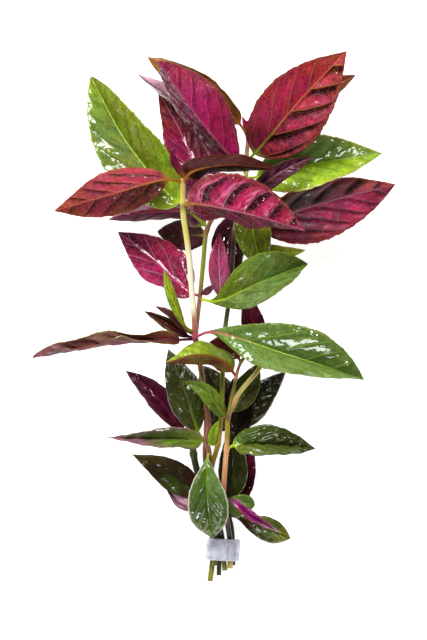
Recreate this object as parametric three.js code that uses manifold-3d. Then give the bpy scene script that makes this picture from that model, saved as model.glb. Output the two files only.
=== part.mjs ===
// A bunch of red hygrophila, an aquarium plant, lying on its back on a flat surface.
// Cut stems pass through a soft lead strip, and leaves grow from the nodes of the stems.
// Millimetres. +Y runs along the bunch to its growing tips, +Z is up.
// The origin is the middle of the strip's underside.

import * as THREE from "three";
import { mergeVertices } from "three/addons/utils/BufferGeometryUtils.js";
import Module from "manifold-3d";

const wasm = await Module();
wasm.setup();

// Driving dimensions
const GAP = 0.3;
const BLADE_THICKNESS = 0.7;
const PETIOLE_WIDTH = 1.8;
const PETIOLE_THICKNESS = 1.5;
const PETIOLE_TAPER = 0.6;
const THIN_FROM = 0.26;
const MIDRIB_DEPTH = 1.4;
const FOLD_SHARE = 0.3;
const BLADE_BULGE = 0.05;
const WAVE_LAG_OF_RIGHT_EDGE = 2;
const LEAF_ROUGHNESS = 0.3;
const RING_SPACING = 7;
const FEWEST_RINGS = 6;
const MOST_RINGS = 13;

const STEM_SIDES = 6;
const NODE_SWELLING = 1.22;
const STEM_ROUGHNESS = 0.45;

const STRIP_HEIGHT = 11;
const STRIP_LENGTH_ACROSS = 17;
const STRIP_DEPTH = 8.6;
const STRIP_CORNER = 3.4;
const STRIP_THICKNESS = 1.2;
const STRIP_LAP = 7;
const STRIP_TURN = THREE.MathUtils.degToRad(-3);
const STRIP_ROUGHNESS = 0.55;
const STRIP_METALNESS = 0.6;
const CORNER_STEPS = 5;
const WELD = 1e-4;

const BUD_BASE = [12.9, 209.4, 20.6];
const BUD_ARCH = new THREE.Vector3(0, 0, 0.8);
const BUD_RISE = [20, 20];

const TONES = {
  green: 0x3f6a26,
  lime: 0x8aa32a,
  crimson: 0xa32a4a,
  bronze: 0x84442e,
  maroon: 0x4a1620,
  mauve: 0x7a3f58,
};

// The outlines of the leaves: the stalk's share of the leaf's length, where along the blade it is
// widest, how full the blade is (more makes its foot and tip finer), and how high its edge waves,
// as a share of its half width, and how often.
const SHAPES = {
  oval: { stalk: 0.13, widest: 0.42, fullness: 1.7, wave: 0.07, waves: 1.5 },
  ovate: { stalk: 0.08, widest: 0.4, fullness: 1.8, wave: 0.07, waves: 1.5 },
  elliptic: { stalk: 0.1, widest: 0.5, fullness: 1.7, wave: 0.07, waves: 1.5 },
  broad: { stalk: 0.03, widest: 0.42, fullness: 1.45, wave: 0.06, waves: 1.5 },
  tapered: { stalk: 0.06, widest: 0.35, fullness: 1.8, wave: 0.07, waves: 1.5 },
  necked: { stalk: 0.07, widest: 0.6, fullness: 2.4, wave: 0.07, waves: 1.5 },
  blunt: { stalk: 0.08, widest: 0.42, fullness: 0.95, wave: 0.05, waves: 1.5 },
  wavy: { stalk: 0.1, widest: 0.42, fullness: 1, wave: 0.26, waves: 2.7 },
};

const UP = new THREE.Vector3(0, 0, 1);

// One leaf: a name, its tone and outline, the full width of its flattened blade, how far its left
// and right halves rise from the horizontal at the foot and at the tip, in degrees, and the line of
// its midrib from the stem's axis to the leaf's tip.
function leaf(name, tone, shape, width, left, right, path) {
  return { name, tone, shape: SHAPES[shape], width, left, right, path };
}

// One stem: a name, a tone, radii at the foot and the top, the points of its axis, and which of
// those points are swollen nodes.
function stem(name, tone, radii, nodes, path) {
  return { name, tone, radii, nodes, path };
}

const STEMS = [
  stem("stem_left", 0xcfc6a0, [1.25, 1.45], [6, 7, 12, 18], [
    [1, -10.5, 6.2], [0, 0, 6.3], [-0.4, 6, 6.8], [-3.3, 19, 12.2], [-6, 37, 17.4], [-7, 49, 20],
    [-8, 55, 20.3], [-7, 61, 20.5], [-8.5, 73.5, 21.5], [-10, 84.5, 22.5], [-11.5, 93, 24],
    [-13.3, 103, 26.8], [-14, 107, 28], [-14.3, 115.5, 29.3], [-15.4, 128, 30.4],
    [-16.8, 145.5, 31.5], [-18, 155.5, 32], [-19.8, 168, 32.7], [-20, 173.5, 33],
    [-20, 186.5, 34.5]]),
  stem("stem_centre", 0x8a6a34, [1.2, 1.1], [7, 10, 15], [
    [-2, -13, 3], [-1.8, 0, 3], [-2.2, 10, 3.9], [-4.4, 20, 5], [-6.8, 30.5, 7.5], [-8.7, 42, 9.6],
    [-9, 50.5, 11.4], [-8.7, 54.5, 12.5], [-8.5, 73.5, 15.4], [-10.2, 84.5, 17.2],
    [-12.4, 97, 20.6], [-13.4, 108, 23.1], [-12.6, 118, 24.2], [-11.5, 127, 24.5],
    [-10, 143, 25.5], [-8, 160.5, 26], [-3.5, 170, 26.8], [0.5, 183, 26]]),
  stem("stem_tall", 0x8b7a4a, [1.35, 1.1], [7, 10, 13, 15], [
    [-3.9, -8, 6], [-3.7, 0, 6.2], [-3.9, 6, 6.5], [-4.4, 11, 7.6], [-5.3, 20, 8.6], [-6, 30.5, 10.8],
    [-5.5, 42, 13.5], [-2.6, 53, 16.4], [-0.8, 68, 17.8], [-0.3, 85, 19.4], [1, 110.5, 21],
    [2.8, 124, 21.5], [4.6, 144, 21.3], [5.8, 160.5, 21], [9.2, 175, 20.5], [11.8, 191, 20],
    [12, 199, 20], [12.8, 208.5, 20.2]]),
  stem("stem_right", 0xcda06a, [1.4, 1.15], [7, 9], [
    [3.6, -9.5, 6.2], [3.7, 0, 6.3], [3.4, 6, 6.8], [2, 15, 10.5], [0.3, 26, 13.6], [0.7, 36, 17.2],
    [1.3, 45, 20.6], [1.8, 51, 22.7], [2.2, 60, 25], [2.4, 66.5, 26.1], [5, 73, 26.4],
    [8.5, 79.5, 26], [13.5, 85.5, 25.9], [17, 89.5, 25.4], [21.5, 97, 24.6], [24, 101, 24]]),
  stem("side_shoot", 0xa8963a, [0.95, 0.75], [4, 5], [
    [2.4, 66.5, 26.1], [2.6, 68, 28.8], [3.4, 72, 30.4], [5, 79, 31.2], [6.5, 87, 31.7],
    [9, 94.5, 31.6], [12, 97.8, 31.2]]),
  stem("stem_back", 0x5f6a2c, [1.1, 0.8], [4, 6], [
    [5.2, -8, 3.1], [5.2, 0, 3.1], [4.6, 10.5, 3.6], [2.9, 19, 4.9], [2.7, 25.5, 5.3], [5, 45.5, 6.2],
    [6, 60, 7], [8, 71, 8.2]]),
  stem("stem_dark", 0x46301f, [1.4, 1.8], [5, 7], [
    [-6.6, -16, 3.3], [-5.3, -6, 3.2], [-5, 0, 3.2], [-5.4, 7, 3.4], [-8, 22, 4.9], [-9, 27, 5.5],
    [-12.5, 38, 7], [-14.8, 48, 8.6], [-15.6, 57, 9.2]]),
];

const TOP_LEAVES = [
  leaf("leaf_top_right", "crimson", "ovate", 38, [40, 24], [5, 10],
    [[12, 195, 20], [19.5, 203, 27], [38.5, 225.5, 36], [62, 250, 32]]),
  leaf("leaf_bronze_back", "bronze", "oval", 17, [5, 5], [5, 5],
    [[13, 207, 20], [19.5, 213, 13], [43.5, 227.5, 6], [67, 239, 0.6]]),
  leaf("leaf_top_left_back", "bronze", "oval", 26, [-5, 0], [70, 68],
    [[12.7, 206.5, 20], [9, 213, 18.5], [-10.8, 234.6, 16], [-38, 247.5, 14]]),
  leaf("leaf_top_left_front", "crimson", "elliptic", 34, [-62, -66], [-18, -12],
    [[11.5, 189.5, 20], [6.5, 194, 26], [-11.5, 215.5, 34], [-32.5, 245, 31]]),
  leaf("leaf_top_left_low", "bronze", "oval", 16, [-75, -75], [0, 0],
    [[0.5, 182.5, 26], [-6, 197, 20], [-22, 222.5, 13.5], [-43, 239, 11]]),
  leaf("leaf_magenta_back", "maroon", "oval", 26, [25, 35], [20, 30],
    [[-4.8, 167.5, 26.6], [-9, 180.5, 15], [-21.5, 210.5, 4], [-32.5, 230.5, 0.6]]),
  leaf("leaf_green_top_left", "green", "broad", 36, [24, 24], [34, 52],
    [[-20, 173.5, 33], [-25.5, 177, 29], [-49, 206, 20], [-66.3, 238, 14]]),
  leaf("leaf_red_left", "crimson", "oval", 27, [-38, -30], [-32, -32],
    [[-20, 184.5, 34.3], [-28.5, 185.5, 40], [-56.5, 178, 40], [-84.5, 170, 30]]),
  leaf("leaf_small_magenta_up", "crimson", "oval", 3.6, [30, 30], [30, 30],
    [[-20, 186, 34.5], [-22.5, 190.5, 38], [-25, 196.5, 40], [-24, 204, 39]]),
  leaf("leaf_brown_top", "maroon", "blunt", 19, [-50, -50], [-72, -72],
    [[-20, 183.5, 34.3], [-16, 189, 40.5], [2.5, 192.5, 47], [25, 191, 43]]),
  leaf("leaf_purple_patch", "mauve", "broad", 16, [15, 15], [15, 15],
    [[-20, 176.5, 33.2], [-16.5, 180, 28.5], [-11, 186, 26.5], [-3.5, 192, 26.5]]),
];

const UPPER_LEAVES = [
  leaf("leaf_magenta_centre", "crimson", "ovate", 38, [24, 14], [-72, -72],
    [[-20, 172.5, 33], [-15, 173.5, 41], [11, 168.5, 52], [41, 160, 46]]),
  leaf("leaf_green_top_right", "green", "ovate", 32, [15, 20], [42, 40],
    [[11.3, 186.5, 20.2], [19.5, 187.5, 18], [47.5, 194, 17], [80, 199, 20]]),
  leaf("leaf_small_purple", "maroon", "oval", 11, [30, 30], [30, 30],
    [[9.8, 177, 20.5], [17.5, 181.5, 28], [31, 190.5, 33], [45, 197, 30]]),
  leaf("leaf_magenta_right", "crimson", "oval", 37, [-56, -50], [6, 6],
    [[6.4, 162.5, 21], [19.5, 164.5, 18], [51, 174.5, 20], [86.5, 183.5, 20]]),
  leaf("leaf_green_centre", "lime", "broad", 19, [15, 15], [15, 15],
    [[8.8, 173, 20.6], [12.8, 168.5, 26], [16, 154.5, 28], [19.5, 141.5, 24]]),
  leaf("leaf_olive_tip_right", "lime", "oval", 9, [20, 20], [20, 20],
    [[5.5, 157.5, 21], [13.5, 151, 21], [28.5, 149, 21], [41.5, 150.5, 19]]),
  leaf("leaf_purple_left", "mauve", "broad", 20, [-66, -60], [-50, -50],
    [[-8, 162, 26], [-16.5, 169, 24], [-36.5, 169.5, 18], [-57.5, 166, 12]]),
  leaf("leaf_dark_left", "maroon", "broad", 16, [10, 10], [10, 10],
    [[-8.2, 158.5, 26], [-11, 158, 21], [-20, 158.5, 10], [-33, 160, 0.6]]),
  leaf("leaf_magenta_left", "crimson", "ovate", 26, [62, 20], [8, 8],
    [[-11.4, 127.5, 24.5], [-17, 129.5, 20], [-35, 146, 10], [-53, 160, 5]]),
];

const MIDDLE_LEAVES = [
  leaf("leaf_green_mid_right", "green", "necked", 29, [20, 20], [2, 80],
    [[-11.5, 126, 24.5], [-3.5, 125, 29], [19.5, 134.5, 36], [42.5, 143.5, 32]]),
  leaf("leaf_purple_upright", "mauve", "oval", 12, [35, 35], [35, 35],
    [[2.8, 124.5, 21.5], [-0.5, 128, 25], [-2, 143, 27], [-2, 159, 23]]),
  leaf("leaf_dark_centre", "maroon", "ovate", 17, [0, 0], [0, 0],
    [[8, 170, 20.8], [6, 166, 16.5], [2.5, 150, 15], [7.5, 130.5, 14]]),
  leaf("leaf_pink_shoot", "mauve", "oval", 4, [30, 30], [30, 30],
    [[-11.4, 128.5, 24.6], [-8.5, 129.5, 28], [-6, 131.5, 31], [-3.5, 134, 33]]),
  leaf("leaf_narrow_green", "lime", "necked", 6, [30, 30], [30, 30],
    [[-14.1, 109, 28.4], [-19, 112.5, 32], [-25, 125.5, 35], [-29.5, 140.5, 33]]),
  leaf("leaf_brown_sliver", "bronze", "oval", 5, [30, 30], [30, 30],
    [[-14, 108, 28.2], [-18.5, 110.5, 29], [-25.5, 118, 29], [-34, 122.5, 27]]),
  leaf("leaf_dark_sliver", "maroon", "oval", 7, [30, 30], [30, 30],
    [[-13.9, 107, 27.8], [-18, 107.5, 25.5], [-27.5, 113.5, 24], [-39.5, 120, 22]]),
  leaf("leaf_long_left", "bronze", "wavy", 16, [108, 96], [58, 12],
    [[-13.8, 106, 27.8], [-22.5, 105.5, 31], [-59, 102.5, 30], [-95.5, 96.5, 20]]),
  leaf("leaf_large_green", "green", "necked", 34, [22, 20], [8, 88],
    [[-14, 107, 28.2], [-5.5, 109.5, 33], [31, 98.5, 40], [70.5, 85.5, 36]]),
  leaf("leaf_olive_sliver", "lime", "oval", 13, [0, 0], [0, 0],
    [[23.7, 100.3, 24], [31, 103.5, 25], [46.5, 104.5, 27], [59, 100, 25]]),
  leaf("leaf_maroon_behind", "maroon", "oval", 12, [10, 10], [10, 10],
    [[22, 98, 24.5], [18.5, 102, 21], [15, 114.5, 18], [11.5, 129.5, 16]]),
  leaf("leaf_folded_green", "green", "ovate", 20, [-62, -55], [-52, -45],
    [[6.6, 87.5, 31.7], [-0.5, 95, 37], [-12, 98, 41], [-29, 94, 39]]),
  leaf("leaf_maroon_centre", "maroon", "oval", 16, [10, 10], [10, 10],
    [[9, 94.3, 31.6], [6.5, 98, 29.5], [0.5, 101, 28], [-8, 103.5, 27.5]]),
];

const LOWER_LEAVES = [
  leaf("leaf_dark_green_left", "green", "oval", 19, [15, 15], [-25, -25],
    [[-8.6, 55, 12.5], [-11.5, 57.5, 14.5], [-19.5, 80.5, 17], [-27.5, 101, 14]]),
  leaf("leaf_maroon_left", "maroon", "oval", 15, [45, 45], [20, 20],
    [[-15.5, 55.5, 9.1], [-20.5, 60.5, 8], [-34, 77, 6], [-49, 90, 3]]),
  leaf("leaf_pink_green_left", "mauve", "tapered", 16, [58, 62], [18, 76],
    [[-8, 55, 20.3], [-13, 55, 23], [-34, 56, 22], [-58.5, 56.5, 16]]),
  leaf("leaf_small_green_a", "green", "ovate", 9.5, [25, 25], [25, 25],
    [[2.3, 65.5, 26], [-0.5, 69, 29], [-9, 80, 31], [-20, 85, 28]]),
  leaf("leaf_small_green_b", "green", "oval", 6, [25, 25], [25, 25],
    [[-7.6, 52.5, 20.2], [-5.5, 54.5, 24], [-4.5, 59.5, 26.5], [-2, 65.5, 27.5]]),
  leaf("leaf_black_green_right", "maroon", "ovate", 14, [8, 8], [5, 5],
    [[6, 60, 7], [10.5, 64, 5.2], [20, 78, 4.2], [32, 90, 3]]),
  leaf("leaf_olive_under", "lime", "oval", 13, [0, 0], [5, 5],
    [[2.5, 67.5, 26.1], [6, 72, 22], [12, 81.5, 20], [18, 94, 19]]),
  leaf("leaf_dark_low", "green", "broad", 21, [5, 5], [5, 5],
    [[6.2, 61.5, 7.1], [2.2, 65, 8.5], [-4, 79.5, 9], [-10, 92.5, 8]]),
  leaf("leaf_dark_low_right", "maroon", "broad", 17, [5, 5], [5, 5],
    [[5.7, 57, 6.8], [6.5, 61, 10.5], [7, 73, 12.5], [6, 87, 12]]),
  leaf("leaf_green_right", "green", "ovate", 23, [32, 32], [62, 62],
    [[1.8, 51, 22.7], [6.5, 53, 22.5], [22.5, 53, 24], [46.5, 51, 20]]),
  leaf("leaf_dark_upright", "green", "oval", 15, [5, 5], [10, 10],
    [[2.8, 21, 5], [3.6, 26.5, 9], [5.2, 40.5, 12], [3.5, 60.5, 12]]),
  leaf("leaf_maroon_upright", "maroon", "blunt", 12, [5, 5], [15, 15],
    [[2.8, 22.5, 5], [7, 24.5, 4.4], [10.8, 40.5, 3.6], [8.5, 61.5, 3.2]]),
  leaf("leaf_round_green", "green", "blunt", 11, [15, 15], [15, 15],
    [[2.9, 19, 4.9], [5, 20.5, 10], [10, 23.5, 13.5], [16, 22.5, 12.5]]),
  leaf("leaf_magenta_twist", "mauve", "oval", 9, [60, 60], [62, 62],
    [[0.3, 26, 13.6], [5, 25, 17], [15, 16.5, 17.5], [29.5, 8.5, 12]]),
  leaf("leaf_bottom_right", "green", "necked", 13, [10, 10], [50, 5],
    [[2.9, 17.5, 4.8], [7, 16.2, 4.3], [19, 11.3, 4], [34, 5.5, 2]]),
  leaf("leaf_olive_left_low", "green", "tapered", 16, [20, 20], [8, 8],
    [[-9.2, 28, 5.6], [-15, 30.5, 3.5], [-30.5, 40.5, 3], [-46, 48, 1.8]]),
  leaf("leaf_maroon_low_left", "maroon", "oval", 7.5, [30, 30], [10, 10],
    [[-8.3, 23, 5], [-13, 21.5, 3.8], [-20.5, 23.5, 3], [-28.5, 30.5, 2]]),
  leaf("leaf_front_oval", "green", "necked", 21, [12, 12], [12, 12],
    [[-7, 49, 20], [-7.8, 45.5, 25], [-8, 27, 26], [-5, 6, 17]]),
];

const LEAVES = [...TOP_LEAVES, ...UPPER_LEAVES, ...MIDDLE_LEAVES, ...LOWER_LEAVES];

// The tiny leaves of the growing tip, as width and tip point
const BUD_LEAVES = [
  { width: 3, tip: [9.6, 217.5, 23] },
  { width: 3.2, tip: [14.6, 219.5, 22.5] },
  { width: 2.6, tip: [12, 215.5, 26.5] },
  { width: 2.6, tip: [16, 214.5, 19.5] },
];

const lerp = THREE.MathUtils.lerp;

function vector(point) {
  return new THREE.Vector3(...point);
}

function curveThrough(path) {
  return new THREE.CatmullRomCurve3(path.map(vector));
}

// Share of the blade's greatest width at a share of the blade's length
function bladeOutline({ widest, fullness }, along) {
  if (along <= 0 || along >= 1) return 0;
  const rise = (along / widest) ** (widest * fullness);
  return rise * ((1 - along) / (1 - widest)) ** ((1 - widest) * fullness);
}

function halfWidthAt({ shape, width }, along) {
  const blade = (along - shape.stalk) / (1 - shape.stalk);
  const stalk = (PETIOLE_WIDTH / 2) * (1 - PETIOLE_TAPER * along);
  return Math.max(stalk, (width / 2) * bladeOutline(shape, blade));
}

function thicknessAt(along) {
  const blade = Math.min(1, along / THIN_FROM);
  return lerp(PETIOLE_THICKNESS, BLADE_THICKNESS, blade);
}

// A half's rise at a share of the length: none along the round stalk, full from the fold share on
function riseAt(rise, along) {
  const folded = THREE.MathUtils.smoothstep(along, 0, FOLD_SHARE);
  return THREE.MathUtils.degToRad(folded * lerp(rise[0], rise[1], along));
}

// Where the leaf is at a share of its length: the midrib's point, the two directions across the
// blade halves, and the upward normals of both halves
function leafFrame(item, curve, along) {
  const centre = curve.getPointAt(along);
  const tangent = curve.getTangentAt(along);
  const side = new THREE.Vector3().crossVectors(UP, tangent).normalize();
  const normal = new THREE.Vector3().crossVectors(tangent, side);
  const halves = [[1, item.left], [-1, item.right]].map(([sign, rise]) => {
    const angle = riseAt(rise, along);
    const out = side.clone().multiplyScalar(sign * Math.cos(angle));
    out.addScaledVector(normal, Math.sin(angle));
    const up = normal.clone().multiplyScalar(Math.cos(angle));
    up.addScaledVector(side, -sign * Math.sin(angle));
    return { out, up };
  });
  return { centre, halves };
}

// A point of the blade: across runs from 0 at the midrib to 1 at the edge, and level from -1 on
// the underside to 1 on the upper side
function bladePoint(shape, frame, half, halfWidth, thickness, along, across, level, grow) {
  const { out, up } = frame.halves[half];
  const bulge = 4 * BLADE_BULGE * halfWidth * across * (1 - across);
  const phase = 2 * Math.PI * shape.waves * along + half * WAVE_LAG_OF_RIGHT_EDGE;
  const wave = shape.wave * halfWidth * Math.sin(phase) * across * across;
  const point = frame.centre.clone();
  point.addScaledVector(out, across * (halfWidth + grow));
  return point.addScaledVector(up, bulge + wave + level * (thickness / 2 + grow));
}

function leafRing(item, curve, along, grow) {
  const frame = leafFrame(item, curve, along);
  const half = halfWidthAt(item, along);
  const thickness = thicknessAt(along);
  const at = (side, across, level) =>
    bladePoint(item.shape, frame, side, half, thickness, along, across, level, grow);
  const middleUp = frame.halves[0].up.clone().add(frame.halves[1].up).normalize();
  const rib = thickness / 2 + grow;
  const top = frame.centre.clone().addScaledVector(middleUp, rib);
  const bottom = frame.centre.clone().addScaledVector(middleUp, -MIDRIB_DEPTH * rib);
  return [at(0, 1, 0), at(0, 0.5, 1), top, at(1, 0.5, 1),
    at(1, 1, 0), at(1, 0.5, -1), bottom, at(0, 0.5, -1)];
}

// Joins rings of equal size into a closed skin; an end is a flat cap, or a point where one is given.
// The upper and lower side of a blade are split along the same diagonals, so they never cross.
function skin(rings, tip) {
  const count = rings[0].length;
  const points = rings.flat();
  const faces = [];
  for (let ring = 0; ring + 1 < rings.length; ring += 1) {
    for (let i = 0; i < count; i += 1) {
      const a = ring * count + i;
      const b = ring * count + ((i + 1) % count);
      if (i < count / 2) faces.push(a, b, a + count, b, b + count, a + count);
      else faces.push(a, b, b + count, a, b + count, a + count);
    }
  }
  for (let i = 1; i + 1 < count; i += 1) faces.push(0, i + 1, i);
  const last = (rings.length - 1) * count;
  if (tip) {
    points.push(tip);
    const end = points.length - 1;
    for (let i = 0; i < count; i += 1) faces.push(last + i, last + ((i + 1) % count), end);
  } else {
    for (let i = 1; i + 1 < count; i += 1) faces.push(last, last + i, last + i + 1);
  }
  const geometry = new THREE.BufferGeometry().setFromPoints(points);
  geometry.setIndex(faces);
  return geometry;
}

function toSolid(geometry) {
  const bare = geometry.index ? geometry : mergeVertices(geometry);
  return new wasm.Manifold(new wasm.Mesh({
    numProp: 3,
    vertProperties: Float32Array.from(bare.attributes.position.array),
    triVerts: Uint32Array.from(bare.index.array),
  }));
}

function toGeometry(solid) {
  const mesh = solid.getMesh();
  const geometry = new THREE.BufferGeometry();
  geometry.setAttribute("position", new THREE.BufferAttribute(mesh.vertProperties, 3));
  geometry.setIndex(new THREE.BufferAttribute(mesh.triVerts, 1));
  geometry.computeVertexNormals();
  return geometry;
}

function leafSolid(item, grow) {
  const curve = curveThrough(item.path);
  const wanted = Math.round(curve.getLength() / RING_SPACING);
  const count = THREE.MathUtils.clamp(wanted, FEWEST_RINGS, MOST_RINGS);
  const rings = [];
  for (let i = 0; i < count; i += 1) rings.push(leafRing(item, curve, i / count, grow));
  const tip = curve.getPointAt(1).addScaledVector(curve.getTangentAt(1), grow);
  return toSolid(skin(rings, tip));
}

function stemRing(curve, at, radius) {
  const centre = curve.getPoint(at);
  const tangent = curve.getTangent(at);
  const side = new THREE.Vector3().crossVectors(UP, tangent).normalize();
  const normal = new THREE.Vector3().crossVectors(tangent, side);
  const ring = [];
  for (let i = 0; i < STEM_SIDES; i += 1) {
    const angle = (-2 * Math.PI * i) / STEM_SIDES;
    const point = centre.clone().addScaledVector(side, radius * Math.cos(angle));
    ring.push(point.addScaledVector(normal, -radius * Math.sin(angle)));
  }
  return ring;
}

function stemSolid(item, grow) {
  const curve = curveThrough(item.path);
  const last = item.path.length - 1;
  const rings = item.path.map((point, i) => {
    const swelling = item.nodes.includes(i) ? NODE_SWELLING : 1;
    const radius = lerp(item.radii[0], item.radii[1], i / last) * swelling;
    return stemRing(curve, i / last, radius + grow);
  });
  return toSolid(skin(rings));
}

// The strip's middle line, seen along the stems: an oval with a flat underside that starts on
// top, runs once round and laps over its own start
function stripLine() {
  const halfWidth = (STRIP_LENGTH_ACROSS - STRIP_THICKNESS) / 2;
  const low = STRIP_THICKNESS / 2;
  const high = STRIP_DEPTH + STRIP_THICKNESS / 2;
  const lapLift = STRIP_THICKNESS + GAP;
  const line = [new THREE.Vector2(-halfWidth + STRIP_CORNER, high)];
  const corner = (x, y, from, lift) => {
    for (let i = 0; i <= CORNER_STEPS; i += 1) {
      const angle = from - (Math.PI / 2) * (i / CORNER_STEPS);
      const grown = STRIP_CORNER + lift * (i / CORNER_STEPS);
      line.push(new THREE.Vector2(x + grown * Math.cos(angle), y + grown * Math.sin(angle)));
    }
  };
  const right = halfWidth - STRIP_CORNER;
  corner(right, high - STRIP_CORNER, Math.PI / 2, 0);
  corner(right, low + STRIP_CORNER, 0, 0);
  corner(-right, low + STRIP_CORNER, -Math.PI / 2, 0);
  corner(-right, high - STRIP_CORNER, Math.PI, lapLift);
  line.push(new THREE.Vector2(-right + STRIP_LAP, high + lapLift));
  return line;
}

// Offsets an open line to both sides and closes it into an outline
function thicken(line, thickness) {
  const sides = [[], []];
  line.forEach((point, i) => {
    const before = line[Math.max(0, i - 1)];
    const after = line[Math.min(line.length - 1, i + 1)];
    const along = after.clone().sub(before).normalize();
    const across = new THREE.Vector2(-along.y, along.x).multiplyScalar(thickness / 2);
    sides[0].push(point.clone().add(across));
    sides[1].unshift(point.clone().sub(across));
  });
  return new THREE.Shape([...sides[0], ...sides[1]]);
}

function stripSolid() {
  const line = stripLine();
  const flat = new THREE.ExtrudeGeometry(thicken(line, STRIP_THICKNESS), {
    depth: STRIP_HEIGHT, bevelEnabled: false, steps: 1,
  });
  flat.deleteAttribute("normal");
  flat.deleteAttribute("uv");
  flat.translate(0, 0, -STRIP_HEIGHT / 2);
  flat.rotateX(Math.PI / 2);
  flat.rotateZ(STRIP_TURN);
  return toSolid(mergeVertices(flat, WELD));
}

function budSolid() {
  const leaves = BUD_LEAVES.map(({ width, tip }) => {
    const middle = vector(BUD_BASE).lerp(vector(tip), 0.5).add(BUD_ARCH);
    const path = [BUD_BASE, middle.toArray(), tip];
    return leafSolid(leaf("bud", "crimson", "ovate", width, BUD_RISE, BUD_RISE, path), 0);
  });
  return leaves.reduce((joined, next) => joined.add(next));
}

// Takes the cutters off a solid and keeps its largest piece
function trimmed(solid, cutters) {
  let rest = solid;
  for (const cutter of cutters) rest = rest.subtract(cutter);
  const pieces = rest.decompose();
  return pieces.reduce((best, piece) => (piece.volume() > best.volume() ? piece : best));
}

function finish(colour, roughness, metalness = 0) {
  return new THREE.MeshStandardMaterial({ color: colour, roughness, metalness });
}

const bunch = new THREE.Group();

function place(name, solid, material) {
  const mesh = new THREE.Mesh(toGeometry(solid), material);
  mesh.name = name;
  bunch.add(mesh);
}

const stemCutters = STEMS.map((item) => stemSolid(item, GAP));

STEMS.forEach((item, i) => {
  const earlier = stemCutters.slice(0, i);
  place(item.name, trimmed(stemSolid(item, 0), earlier), finish(item.tone, STEM_ROUGHNESS));
});

place("lead_strip", stripSolid(), finish(0xb9bac6, STRIP_ROUGHNESS, STRIP_METALNESS));
place("tip_bud", trimmed(budSolid(), stemCutters), finish(TONES.crimson, LEAF_ROUGHNESS));

const cutters = [...stemCutters];
for (const item of LEAVES) {
  const colour = TONES[item.tone];
  place(item.name, trimmed(leafSolid(item, 0), cutters), finish(colour, LEAF_ROUGHNESS));
  cutters.push(leafSolid(item, GAP));
}

export default bunch;
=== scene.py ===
"""A shop bunch of red hygrophila, an aquarium plant, lying on a pale surface.

Cut stems pass through a soft lead strip. Glossy green, bronze and crimson leaves stand in pairs at
the nodes of the stems. Sizes are in millimetres and become metres where a mesh is made. +Y runs
along the bunch to its growing tips, and +Z is up.
"""

import logging
import math
from dataclasses import dataclass
from enum import Enum
from typing import Any

import bmesh
import bpy
import numpy as np
from bpy.types import Material, Node
from bpy.types import NodeTree as Tree
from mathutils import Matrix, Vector


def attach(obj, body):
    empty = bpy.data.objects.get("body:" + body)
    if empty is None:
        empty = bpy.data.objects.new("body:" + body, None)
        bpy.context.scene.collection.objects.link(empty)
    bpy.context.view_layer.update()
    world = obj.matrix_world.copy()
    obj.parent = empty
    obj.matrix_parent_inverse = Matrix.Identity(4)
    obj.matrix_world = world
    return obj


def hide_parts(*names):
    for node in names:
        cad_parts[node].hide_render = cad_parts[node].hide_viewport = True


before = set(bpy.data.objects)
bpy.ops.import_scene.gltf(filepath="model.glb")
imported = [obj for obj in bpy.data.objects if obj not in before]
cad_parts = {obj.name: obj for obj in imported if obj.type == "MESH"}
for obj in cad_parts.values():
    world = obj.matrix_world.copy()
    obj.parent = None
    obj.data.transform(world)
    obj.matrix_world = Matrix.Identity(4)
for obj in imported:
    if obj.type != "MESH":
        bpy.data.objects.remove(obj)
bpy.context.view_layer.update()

logger = logging.getLogger("red_hygrophila")

Array = np.ndarray
Point = tuple[float, float, float]
Pair = tuple[float, float]

MM = 0.001
UP = np.array([0.0, 0.0, 1.0])
# The side of the window softbox, seen from above: the hollows lean by it, and the leaf skins paint
# shade and light on their two sides by it
WINDOW_SIDE = np.array([-0.36, 0.93, 0.0])
VEIN_SLANT = 50.0

# Kinds of node that stand in the trees many times, and an easing
MATH = "ShaderNodeMath"
VECTOR_MATH = "ShaderNodeVectorMath"
MAP_RANGE = "ShaderNodeMapRange"
NOISE = "ShaderNodeTexNoise"
SMOOTH = "SMOOTHSTEP"

# What every leaf shares: shares of its length or width, or millimetres
PETIOLE_WIDTH = 1.5
PETIOLE_TAPER = 0.6
PETIOLE_THICKNESS = 1.15
BLADE_THICKNESS = 0.34
THIN_FROM = 0.26
FOLD_SHARE = 0.3
FOLD_ROUNDING = 1.2
FOLD_ROUNDING_SHARE = 0.35
BLADE_BULGE = 0.05
WAVE_LAG_OF_RIGHT_EDGE = 2.0
MIDRIB_RISE = 0.14
MIDRIB_DEPTH = 0.55
MIDRIB_WIDTH = 0.6
MIDRIB_THINNING = 0.8
MIDRIB_NEEDS = 2.0
STALK_ROUNDNESS = 2
EDGE_SHARPNESS = 8
SCALLOPS = ((0.012, 1.05), (0.008, 0.47))
UNDERSIDE_WETNESS = 0.4
HALF_BLEND = 0.1
TINT_ENDS = (0.05, 0.95)
STALK_END = 0.05
LAST_RING = 0.997
FEWEST_ROWS = 18
FEWEST_COLUMNS = 5
MESH_SPACING = 0.7
SPLINE_STEPS = 48

# What a blade's middle surface hands on to its relief and skin
CHARTED = ("chart", "across", "along", "lean", "swell", "slant", "sweep", "ridge", "midrib",
           "painted_highlight_folds")


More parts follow.
